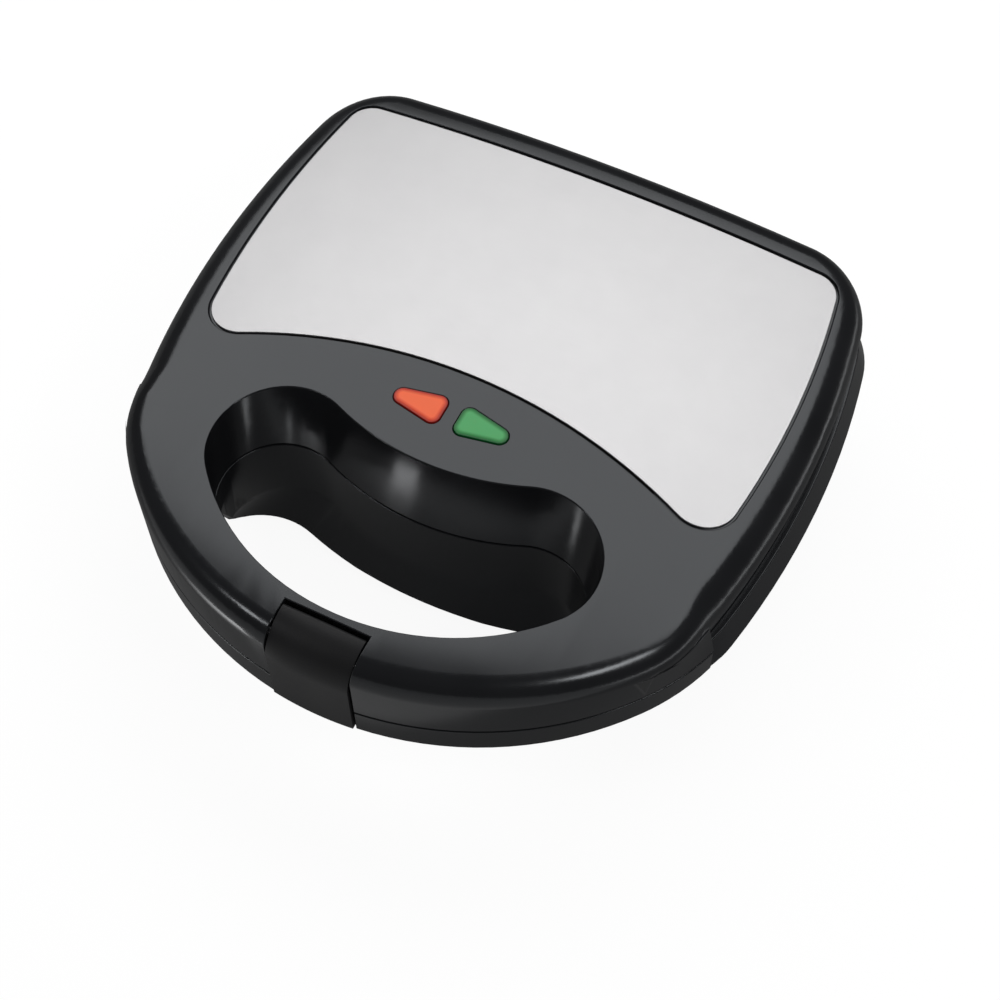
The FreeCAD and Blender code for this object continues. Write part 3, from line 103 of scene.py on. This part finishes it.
class ShaderBench:
    """A new material's node tree, with short ways to add the nodes that the finishes share."""

    def __init__(self, name: str) -> None:
        """Start a material with one principled shader."""
        self.material = bpy.data.materials.new(name)
        self.material.use_nodes = True
        self.tree = self.material.node_tree
        self.shader = self.tree.nodes["Principled BSDF"]
        self.place = self.tree.nodes.new("ShaderNodeTexCoord").outputs["Object"]

    def set(self, **values: object) -> None:
        """Set constant values on the shader's own sockets, with underscores for spaces."""
        for name, value in values.items():
            self.shader.inputs[name.replace("_", " ")].default_value = value

    def link(self, source: bpy.types.NodeSocket, socket: str) -> None:
        """Feed one of the shader's sockets."""
        self.tree.links.new(source, self.shader.inputs[socket])

    def noise(self, grain: float, detail: float = 2.0,
              stretch: Point = (1.0, 1.0, 1.0)) -> bpy.types.NodeSocket:
        """Add a noise pattern on Object coordinates.

        Args:
            grain: Size of one grain of the pattern.
            detail: Octaves of finer noise on top.
            stretch: How often the pattern repeats along each axis, against the others.

        Returns:
            The pattern's value, around one half.
        """
        mapping = self.tree.nodes.new("ShaderNodeMapping")
        mapping.inputs["Scale"].default_value = stretch
        pattern = self.tree.nodes.new("ShaderNodeTexNoise")
        pattern.inputs["Scale"].default_value = 1.0 / grain
        pattern.inputs["Detail"].default_value = detail
        self.tree.links.new(self.place, mapping.inputs["Vector"])
        self.tree.links.new(mapping.outputs["Vector"], pattern.inputs["Vector"])
        return pattern.outputs["Fac"]

    def spread(self, source: bpy.types.NodeSocket, low: float, high: float,
               between: Tuple[float, float] = (0.3, 0.7)) -> bpy.types.NodeSocket:
        """Map a pattern's usual range to a range of values.

        Args:
            source: A noise value.
            low: Result for the pattern's dark parts.
            high: Result for its bright parts.
            between: The pattern's values that give these results.

        Returns:
            The mapped value.
        """
        node = self.tree.nodes.new("ShaderNodeMapRange")
        node.inputs["From Min"].default_value = between[0]
        node.inputs["From Max"].default_value = between[1]
        node.inputs["To Min"].default_value = low
        node.inputs["To Max"].default_value = high
        self.tree.links.new(source, node.inputs["Value"])
        return node.outputs["Result"]

    def blend(self, source: bpy.types.NodeSocket, first: Colour, second: Colour) -> bpy.types.NodeSocket:
        """Mix two colours by a pattern.

        Args:
            source: The pattern, from 0 to 1.
            first: Colour where the pattern is 0.
            second: Colour where it is 1.

        Returns:
            The mixed colour.
        """
        node = self.tree.nodes.new("ShaderNodeMix")
        node.data_type = "RGBA"
        node.inputs["A"].default_value = (*first, 1.0)
        node.inputs["B"].default_value = (*second, 1.0)
        self.tree.links.new(source, node.inputs["Factor"])
        return node.outputs["Result"]

    def bump(self, source: bpy.types.NodeSocket, depth: float) -> None:
        """Raise and sink the surface a little by a pattern of a given depth."""
        node = self.tree.nodes.new("ShaderNodeBump")
        node.inputs["Distance"].default_value = depth
        self.tree.links.new(source, node.inputs["Height"])
        self.link(node.outputs["Normal"], "Normal")


@dataclass(frozen=True)
class MouldedPlastic:
    """Moulded plastic, rubber or ceramic with a fine grain and slight changes of gloss."""

    name: str
    colour: Colour
    roughness: Tuple[float, float]
    specular: float = 0.3
    tint: Colour = (1.0, 1.0, 1.0)
    grain: float = 0.35 * MM
    depth: float = 0.004 * MM
    cloud: float = 30.0 * MM
    shade: float = 0.15

    def material(self) -> bpy.types.Material:
        """Build the material."""
        bench = ShaderBench(self.name)
        clouds = bench.noise(self.cloud)
        darker = tuple(channel * (1.0 - self.shade) for channel in self.colour)
        lighter = tuple(channel * (1.0 + self.shade) for channel in self.colour)
        bench.link(bench.blend(bench.spread(clouds, 0.0, 1.0), darker, lighter), "Base Color")
        bench.link(bench.spread(clouds, *self.roughness), "Roughness")
        bench.set(Specular_IOR_Level=self.specular, Specular_Tint=(*self.tint, 1.0))
        bench.bump(bench.noise(self.grain, detail=3.0), self.depth)
        return bench.material


@dataclass(frozen=True)
class Metal:
    """Bare metal with a drawn or rolled grain along one axis."""

    name: str
    colour: Colour
    roughness: Tuple[float, float]
    tint: Colour
    grain: float = 0.25 * MM
    stretch: Point = (1.0, 1.0, 1.0)
    depth: float = 0.002 * MM
    cloud_grains: float = 60.0

    def material(self) -> bpy.types.Material:
        """Build the material."""
        bench = ShaderBench(self.name)
        grain = bench.noise(self.grain, detail=3.0, stretch=self.stretch)
        clouds = bench.noise(self.grain * self.cloud_grains)
        bench.link(bench.blend(bench.spread(clouds, 0.0, 1.0), self.colour, self.tint), "Base Color")
        bench.link(bench.spread(grain, *self.roughness), "Roughness")
        bench.set(Metallic=1.0)
        bench.bump(grain, self.depth)
        return bench.material


@dataclass(frozen=True)
class NonStick:
    """Cast aluminium with a dark non-stick coat and fine pale specks."""

    name: str
    colour: Colour
    speck: Colour
    roughness: Tuple[float, float] = (0.38, 0.5)
    grain: float = 0.5 * MM
    speck_range: Tuple[float, float] = (0.66, 0.74)
    cloud_grains: float = 20.0
    bump_grains: float = 0.6
    depth: float = 0.01 * MM

    def material(self) -> bpy.types.Material:
        """Build the material."""
        bench = ShaderBench(self.name)
        specks = bench.spread(bench.noise(self.grain, detail=1.0), 0.0, 1.0, self.speck_range)
        bench.link(bench.blend(specks, self.colour, self.speck), "Base Color")
        bench.link(bench.spread(bench.noise(self.grain * self.cloud_grains), *self.roughness), "Roughness")
        bench.bump(bench.noise(self.grain * self.bump_grains), self.depth)
        return bench.material


@dataclass(frozen=True)
class LensPlastic:
    """Clear coloured plastic over a lit lamp: a dark rim, lighter towards the middle, both in its glow and as
    the lamp's light painted into its colour.
    """

    name: str
    rim: Colour
    middle: Colour
    core: Colour
    glow: float = 0.15
    scatter: float = 1.5 * MM
    scatter_share: float = 0.3
    roughness: float = 0.2
    specular: float = 0.25
    middle_share: float = 0.4
    facet: float = 1.2 * MM
    depth: float = 0.01 * MM

    def material(self) -> bpy.types.Material:
        """Build the material."""
        bench = ShaderBench(self.name)
        ramp = bench.tree.nodes.new("ShaderNodeValToRGB")
        ramp.color_ramp.elements[0].color = (*self.rim, 1.0)
        ramp.color_ramp.elements[1].color = (*self.core, 1.0)
        ramp.color_ramp.elements.new(self.middle_share).color = (*self.middle, 1.0)
        reading = bench.tree.nodes.new("ShaderNodeAttribute")
        reading.attribute_name = GLOW
        bench.tree.links.new(reading.outputs["Fac"], ramp.inputs["Fac"])
        # the glow ramp also sets the base colour: the lamp's light painted in, dark at the rim and lighter in
        # the middle
        bench.link(ramp.outputs["Color"], "Base Color")
        bench.link(ramp.outputs["Color"], "Emission Color")
        bench.set(Emission_Strength=self.glow, Roughness=self.roughness, Specular_IOR_Level=self.specular)
        bench.set(Subsurface_Weight=self.scatter_share, Subsurface_Scale=self.scatter)
        bench.bump(bench.noise(self.facet, detail=0.0), self.depth)
        return bench.material


@dataclass(frozen=True)
class LampGlass:
    """Pale glass of the small signal lamps."""

    name: str
    colour: Colour
    deep: Colour
    roughness: float = 0.15
    grain: float = 2.0 * MM
    clearness: float = 0.6
    ripple_share: float = 0.3
    ripple: float = 0.005 * MM

    def material(self) -> bpy.types.Material:
        """Build the material."""
        bench = ShaderBench(self.name)
        clouds = bench.spread(bench.noise(self.grain), 0.0, 1.0)
        bench.link(bench.blend(clouds, self.colour, self.deep), "Base Color")
        bench.set(Roughness=self.roughness, Transmission_Weight=self.clearness)
        bench.bump(bench.noise(self.grain * self.ripple_share), self.ripple)
        return bench.material


COOL = (0.93, 0.965, 1.0)
BLACK = MouldedPlastic("satin_black", (0.009, 0.0093, 0.0106), (0.17, 0.22), specular=0.56, tint=COOL,
                       depth=0.002 * MM)
MATTE = MouldedPlastic("matte_black", (0.011, 0.011, 0.012), (0.42, 0.5), depth=0.01 * MM)
# painted shade: near-black and dull, laid on the lid's panel seat so the gap round the steel panel reads dark
PAINTED_SEAT_SHADE = MouldedPlastic("painted_seat_shade", (0.006, 0.006, 0.006), (0.7, 0.8), specular=0.05)
RUBBER = MouldedPlastic("foot_rubber", (0.02, 0.02, 0.02), (0.6, 0.75), depth=0.02 * MM)
CERAMIC = MouldedPlastic("fired_ceramic", (0.75, 0.72, 0.66), (0.55, 0.7), depth=0.02 * MM)
SLEEVE = MouldedPlastic("glass_sleeve", (0.7, 0.68, 0.62), (0.6, 0.8), grain=0.5 * MM, depth=0.05 * MM)
PANEL = Metal("satin_steel", (0.62, 0.615, 0.62), (0.42, 0.46), (0.605, 0.6, 0.606), stretch=(0.02, 1.0, 1.0))
SHEET = Metal("rolled_sheet", (0.55, 0.55, 0.56), (0.3, 0.42), (0.5, 0.5, 0.5))
PIN = Metal("drawn_steel", (0.5, 0.5, 0.51), (0.28, 0.4), (0.45, 0.45, 0.46))
ELEMENT = Metal("heated_tube", (0.3, 0.27, 0.24), (0.4, 0.5), (0.22, 0.17, 0.14))
NONSTICK = NonStick("nonstick_coat", (0.02, 0.02, 0.021), (0.12, 0.12, 0.12))
RED = LensPlastic("red_lens", (0.22, 0.012, 0.008), (0.6, 0.05, 0.015), (0.82, 0.13, 0.04))
GREEN = LensPlastic("green_lens", (0.004, 0.07, 0.016), (0.02, 0.19, 0.045), (0.065, 0.34, 0.11))
GLASS = LampGlass("lamp_glass", (0.8, 0.7, 0.6), (0.75, 0.62, 0.5))

FINISHES = {
    Slot.BLACK: BLACK, Slot.MATTE: MATTE, Slot.PANEL: PANEL, Slot.RED: RED, Slot.GREEN: GREEN,
    Slot.NONSTICK: NONSTICK, Slot.ELEMENT: ELEMENT, Slot.SHEET: SHEET, Slot.PIN: PIN, Slot.CERAMIC: CERAMIC,
    Slot.GLASS: GLASS, Slot.RUBBER: RUBBER, Slot.SLEEVE: SLEEVE,
}


class Workbench:
    """Short ways to model one piece at a time with Blender's own operators."""

    same_point = 0.002 * MM
    same_plane = math.radians(0.3)
    sharp_edge = math.radians(35.0)

    @staticmethod
    def pick(piece: bpy.types.Object) -> None:
        """Make one piece the only selected one."""
        bpy.ops.object.select_all(action="DESELECT")
        piece.select_set(True)
        bpy.context.view_layer.objects.active = piece

    @classmethod
    def twin(cls, node: bpy.types.Object, name: str) -> bpy.types.Object:
        """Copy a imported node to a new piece, with its triangles joined to whole faces.

        Args:
            node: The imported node's object.
            name: Name of the new piece.

        Returns:
            The new piece, free of the frame.
        """
        cls.pick(node)
        bpy.ops.object.duplicate()
        piece = bpy.context.object
        piece.name = name
        piece.data.name = name
        for key in list(piece.keys()):
            del piece[key]
        bpy.ops.object.parent_clear(type="CLEAR_KEEP_TRANSFORM")
        bpy.ops.mesh.customdata_custom_splitnormals_clear()
        bpy.ops.object.mode_set(mode="EDIT")
        bpy.ops.mesh.select_all(action="SELECT")
        bpy.ops.mesh.remove_doubles(threshold=cls.same_point)
        bpy.ops.mesh.dissolve_degenerate(threshold=cls.same_point)
        bpy.ops.mesh.select_all(action="SELECT")
        bpy.ops.mesh.dissolve_limited(angle_limit=cls.same_plane)
        bpy.ops.object.mode_set(mode="OBJECT")
        return piece

    @classmethod
    def select_faces(cls, piece: bpy.types.Object, test: FaceTest) -> None:
        """Select the faces that pass a test and nothing else.

        Args:
            piece: The piece to look at.
            test: Says whether a face is wanted.
        """
        cls.pick(piece)
        bpy.context.tool_settings.mesh_select_mode = (False, False, True)
        bpy.ops.object.mode_set(mode="EDIT")
        bpy.ops.mesh.select_all(action="DESELECT")
        bpy.ops.object.mode_set(mode="OBJECT")
        wanted = [face.index for face in piece.data.polygons if test(face)]
        for number in wanted:
            piece.data.polygons[number].select = True

    @staticmethod
    def inset(width: float, rise: float) -> None:
        """Step the active piece's selected faces in from their edge, up or down on the way.

        Args:
            width: How far in.
            rise: How far out of the surface, or into it where negative.
        """
        bpy.ops.object.mode_set(mode="EDIT")
        bpy.ops.mesh.inset(thickness=width, depth=rise)
        bpy.ops.object.mode_set(mode="OBJECT")

    @classmethod
    def soften(cls, piece: bpy.types.Object, edge: float, segments: int) -> None:
        """Round off the sharp edges and shade the faces between them smoothly.

        Args:
            piece: The piece to soften.
            edge: Width of the rounding.
            segments: Faces across the rounding.
        """
        cls.pick(piece)
        bpy.ops.object.shade_smooth_by_angle(angle=cls.sharp_edge)
        rounding = piece.modifiers.new("soft_edges", "BEVEL")
        rounding.width = edge
        rounding.segments = segments
        rounding.limit_method = "ANGLE"
        rounding.angle_limit = cls.sharp_edge
        rounding.use_clamp_overlap = False
        rounding.harden_normals = True
        bpy.ops.object.modifier_apply(modifier=rounding.name)


@dataclass
class SoftPiece:
    """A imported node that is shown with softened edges."""

    name: str
    node: str
    slot: Slot
    edge: float = 0.4 * MM
    segments: int = 2

    def shape(self, piece: bpy.types.Object) -> None:
        """Add the piece's own details before its edges are softened."""

    def dress(self, piece: bpy.types.Object, materials: Materials) -> None:
        """Give the piece its finish."""
        piece.data.materials.clear()
        piece.data.materials.append(materials[self.slot])

    def build(self, frame: Dict, materials: Materials) -> bpy.types.Object:
        """Make the piece and let it stand for its node.

        Args:
            materials: One material for each slot.

        Returns:
            The finished piece.
        """
        piece = Workbench.twin(frame["nodes"][self.node], self.name)
        self.shape(piece)
        Workbench.soften(piece, self.edge, self.segments)
        self.dress(piece, materials)
        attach(piece, body_of_node(frame["record"], self.node))
        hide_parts(self.node)
        LOG.info("built %s with %d faces", self.name, len(piece.data.polygons))
        return piece


@dataclass
class LidShell(SoftPiece):
    """The lid, with painted shade on the seat of its steel panel: a dull near-black finish there."""

    seat_depth: float = 0.5 * MM
    flat_rise: float = 0.9

    def dress(self, piece: bpy.types.Object, materials: Materials) -> None:
        """Give the lid its finish, and its panel seat a dull near-black one that paints shade into the gap
        round the panel.
        """
        super().dress(piece, materials)
        piece.data.materials.append(PAINTED_SEAT_SHADE.material())
        low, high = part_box("steel_panel")
        # the flat faces of the seat under the panel take the painted shade
        for face in piece.data.polygons:
            inside = low.x < face.center.x < high.x and low.y < face.center.y < high.y
            if inside and face.normal.z > self.flat_rise and self.depth(face.center) > self.seat_depth:
                face.material_index = 1

    def depth(self, point: Vector) -> float:
        """How far a point lies under the crown of the lid."""
        low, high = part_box("steel_panel")
        half = (high.x - low.x) / 2
        fall = high.z - low.z
        return high.z - fall * (point.x / half) ** 2 - point.z


@dataclass
class SignalLens(SoftPiece):
    """A signal lens with a raised middle, its lamp's light painted into its colour: a dark rim and a lighter
    middle.
    """

    edge: float = 0.15 * MM
    flat_rise: float = 0.9
    ring_widths: Tuple[float, ...] = (0.4 * MM, 0.5 * MM, 0.5 * MM, 0.5 * MM)
    ring_rises: Tuple[float, ...] = (0.0, 0.08 * MM, 0.05 * MM, 0.03 * MM)
    ring_glows: Tuple[float, ...] = (0.15, 0.4, 0.7, 1.0)

    def shape(self, piece: bpy.types.Object) -> None:
        """Step the lens's top in from its edge and note how bright each step is."""
        top = max(vertex.co.z for vertex in piece.data.vertices)
        glow = piece.data.attributes.new(GLOW, "FLOAT", "POINT").name
        near_top = sum(self.ring_widths)

        def on_top(face: bpy.types.MeshPolygon) -> bool:
            return face.normal.z > self.flat_rise and face.center.z > top - near_top

        Workbench.select_faces(piece, on_top)
        for width, rise, brightness in zip(self.ring_widths, self.ring_rises, self.ring_glows):
            Workbench.inset(width, rise)
            values = piece.data.attributes[glow].data
            for vertex in piece.data.vertices:
                if vertex.select:
                    values[vertex.index].value = brightness


@dataclass
class RubberFoot(SoftPiece):
    """A rubber foot with a hollow under its sole."""

    edge: float = 0.8 * MM
    segments: int = 3
    sole: float = 2.2 * MM
    hollow: float = 0.9 * MM
    flat_fall: float = -0.9

    def shape(self, piece: bpy.types.Object) -> None:
        """Sink the middle of the sole."""
        def under_sole(face: bpy.types.MeshPolygon) -> bool:
            return face.normal.z < self.flat_fall and face.center.z < self.hollow

        Workbench.select_faces(piece, under_sole)
        Workbench.inset(self.sole, 0.0)
        Workbench.inset(self.hollow, -self.hollow)


@dataclass(frozen=True)
class Lamp:
    """A soft rectangular studio lamp that faces a point."""

    name: str
    place: Point
    aim: Point
    width: float
    height: float
    radiance: float
    beam: float = math.pi

    def build(self) -> bpy.types.Object:
        """Hang the lamp."""
        direction = Vector(self.aim) - Vector(self.place)
        turn = direction.to_track_quat("-Z", "Y").to_euler()
        bpy.ops.object.light_add(type="AREA", location=self.place, rotation=turn)
        lamp = bpy.context.object
        lamp.name = self.name
        lamp.data.shape = "RECTANGLE"
        lamp.data.size = self.width
        lamp.data.size_y = self.height
        lamp.data.spread = self.beam
        narrowing = 1.0 - self.beam / 2 / math.tan(self.beam / 2)
        lamp.data.energy = self.radiance * self.width * self.height * math.pi * narrowing
        lamp.visible_camera = False
        return lamp


@dataclass
class Studio:
    """Pale floor, soft lamps and the camera of the photograph."""

    eye: Point = (0.1629, -0.31015, 0.5859)
    looks_along: Point = (-0.2283, 0.4600, -0.8581)
    focal_length: float = 64.8
    sensor: float = 36.0
    floor_size: float = 8.0
    floor_colour: Colour = (0.1, 0.1, 0.1)
    floor_roughness: float = 0.9
    floor_lift: float = 0.925
    floor_mirrored: float = 0.07
    ambient: float = 0.35
    room_mirrored: float = 0.07
    narrow: float = math.radians(32.0)
    wide: float = math.radians(50.0)

    def lamps(self) -> List[Lamp]:
        """The lamps that light the object, and cards on the floor that its walls mirror."""
        right_front = (0.09, -0.07, 0.08)
        left_front = (-0.02, -0.11, 0.08)
        rear_wall = (-0.006, -0.043, 0.08)
        rear_left = (-0.025, -0.039, 0.08)
        left_bend = (-0.053, -0.036, 0.075)
        left_lobe = (-0.068, -0.049, 0.075)
        right_lobe = (0.053, -0.034, 0.078)
        return [
            Lamp("overhead_softbox", (-0.4, 0.65, 1.08), (-0.4, 0.65, 0.0), 2.0, 0.78, 2.0),
            Lamp("right_strip", (0.615, -0.157, 0.83), right_front, 0.32, 0.15, 9.0),
            Lamp("left_strip", (-0.54, -0.53, 0.82), left_front, 0.16, 0.12, 9.0),
            Lamp("front_card", (-0.05, -0.445, 0.112), (-0.05, -0.229, 0.722), 0.9, 0.647, 0.25),
            Lamp("right_card", (0.45, 0.15, 0.004), (0.45, 0.15, 1.0), 0.22, 0.8, 1.6),
            Lamp("wall_card", (-0.056, -0.155, 0.004), rear_wall, 0.03, 0.05, 6.0, self.narrow),
            Lamp("wall_side_card", (-0.1, -0.155, 0.004), rear_left, 0.07, 0.06, 6.0, self.wide),
            Lamp("left_bend_card", (-0.03, -0.165, 0.004), left_bend, 0.012, 0.03, 3.0, self.narrow),
            Lamp("left_lobe_card", (0.039, -0.084, 0.004), left_lobe, 0.012, 0.02, 4.0, self.narrow),
            Lamp("right_lobe_card", (-0.02, -0.118, 0.004), right_lobe, 0.012, 0.02, 3.0, self.narrow),
        ]

    def add_camera(self) -> None:
        """Set the camera at the photograph's viewing angle."""
        turn = Vector(self.looks_along).to_track_quat("-Z", "Y").to_euler()
        bpy.ops.object.camera_add(location=self.eye, rotation=turn)
        camera = bpy.context.object
        camera.name = "photo_camera"
        camera.data.sensor_width = self.sensor
        camera.data.lens = self.focal_length
        bpy.context.scene.camera = camera

    def seen_share(self, tree: bpy.types.NodeTree, plain: float, mirrored: float) -> bpy.types.NodeSocket:
        """Brightness that the camera, glass and mirrors see.

        Args:
            tree: Node tree to add to.
            plain: Brightness for the camera and through glass.
            mirrored: Brightness in glossy surfaces.

        Returns:
            The brightness of the ray at hand.
        """
        path = tree.nodes.new("ShaderNodeLightPath")
        straight = tree.nodes.new("ShaderNodeMath")
        straight.operation = "MAXIMUM"
        tree.links.new(path.outputs["Is Camera Ray"], straight.inputs[0])
        tree.links.new(path.outputs["Is Transmission Ray"], straight.inputs[1])
        lifted = tree.nodes.new("ShaderNodeMath")
        lifted.operation = "MULTIPLY"
        lifted.inputs[1].default_value = plain
        tree.links.new(straight.outputs["Value"], lifted.inputs[0])
        total = tree.nodes.new("ShaderNodeMath")
        total.operation = "MULTIPLY_ADD"
        total.inputs[1].default_value = mirrored
        tree.links.new(path.outputs["Is Glossy Ray"], total.inputs[0])
        tree.links.new(lifted.outputs["Value"], total.inputs[2])
        return total.outputs["Value"]

    def add_floor(self) -> None:
        """Lay a pale floor that keeps a faint shadow."""
        bpy.ops.mesh.primitive_plane_add(size=self.floor_size)
        floor = bpy.context.object
        floor.name = "studio_floor"
        material = bpy.data.materials.new("pale_floor")
        material.use_nodes = True
        tree = material.node_tree
        shader = tree.nodes["Principled BSDF"]
        shader.inputs["Base Color"].default_value = (*self.floor_colour, 1.0)
        shader.inputs["Roughness"].default_value = self.floor_roughness
        shader.inputs["Specular IOR Level"].default_value = 0.0
        shader.inputs["Emission Color"].default_value = (1.0, 1.0, 1.0, 1.0)
        seen = self.seen_share(tree, self.floor_lift, self.floor_mirrored)
        tree.links.new(seen, shader.inputs["Emission Strength"])
        floor.data.materials.append(material)

    def add_world(self) -> None:
        """Fill the room with dim soft light, white where the camera looks at it."""
        world = bpy.data.worlds.new("studio_room")
        bpy.context.scene.world = world
        world.use_nodes = True
        tree = world.node_tree
        background = tree.nodes["Background"]
        background.inputs["Color"].default_value = (1.0, 1.0, 1.0, 1.0)
        total = tree.nodes.new("ShaderNodeMath")
        total.inputs[1].default_value = self.ambient
        seen = self.seen_share(tree, 1.0 - self.ambient, self.room_mirrored - self.ambient)
        tree.links.new(seen, total.inputs[0])
        tree.links.new(total.outputs["Value"], background.inputs["Strength"])

    def build(self) -> None:
        """Set up the whole studio."""
        self.add_camera()
        self.add_floor()
        self.add_world()
        for lamp in self.lamps():
            lamp.build()
        bpy.context.scene.view_settings.view_transform = "Standard"


def body_of_node(record: Dict, node: str) -> str:
    """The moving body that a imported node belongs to."""
    return next(body for body, nodes in record["behaviour"]["bodies"].items() if node in nodes)


def dress_nodes(frame: Dict, materials: Materials) -> None:
    """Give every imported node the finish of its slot.

    Args:
        materials: One material for each slot.
    """
    for part in frame["record"]["subparts"]:
        mesh = frame["nodes"][part["node"]].data
        mesh.materials.clear()
        mesh.materials.append(materials[Slot(part["material_slot"])])
        LOG.info("dressed %s in %s", part["node"], part["material_slot"])


def pieces() -> List[SoftPiece]:
    """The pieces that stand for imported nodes, shells first."""
    feet = [f"{end}_{side}" for end in ("front", "rear") for side in ("left", "right")]
    return [
        LidShell("lid_shell", "lid_cover", Slot.BLACK),
        SoftPiece("base_shell", "base_housing", Slot.BLACK),
        SoftPiece("top_panel", "steel_panel", Slot.PANEL, edge=0.25 * MM),
        SoftPiece("lid_grip_cover", "lid_handle_liner", Slot.MATTE, edge=0.3 * MM),
        SoftPiece("base_grip_cover", "base_handle_liner", Slot.MATTE, edge=0.3 * MM),
        SoftPiece("upper_grill", "upper_plate", Slot.NONSTICK, edge=0.5 * MM),
        SoftPiece("lower_grill", "lower_plate", Slot.NONSTICK, edge=0.5 * MM),
        SoftPiece("left_hinge_rod", "hinge_pin_left", Slot.PIN, edge=0.3 * MM),
        SoftPiece("right_hinge_rod", "hinge_pin_right", Slot.PIN, edge=0.3 * MM),
        SoftPiece("cord_bush", "cord_inlet", Slot.RUBBER, edge=0.5 * MM),
        SignalLens("power_signal", "power_lens", Slot.RED),
        SignalLens("ready_signal", "ready_lens", Slot.GREEN),
    ] + [RubberFoot(f"{foot}_foot", f"foot_{foot}", Slot.RUBBER) for foot in feet]


def main() -> None:
    """Build the studio and the looks of every piece."""
    logging.basicConfig(level=logging.INFO)
    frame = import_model()
    bpy.ops.object.select_all(action="DESELECT")
    Studio().build()
    materials = {slot: finish.material() for slot, finish in FINISHES.items()}
    dress_nodes(frame, materials)
    for piece in pieces():
        piece.build(frame, materials)


if __name__ == "__main__":
    main()
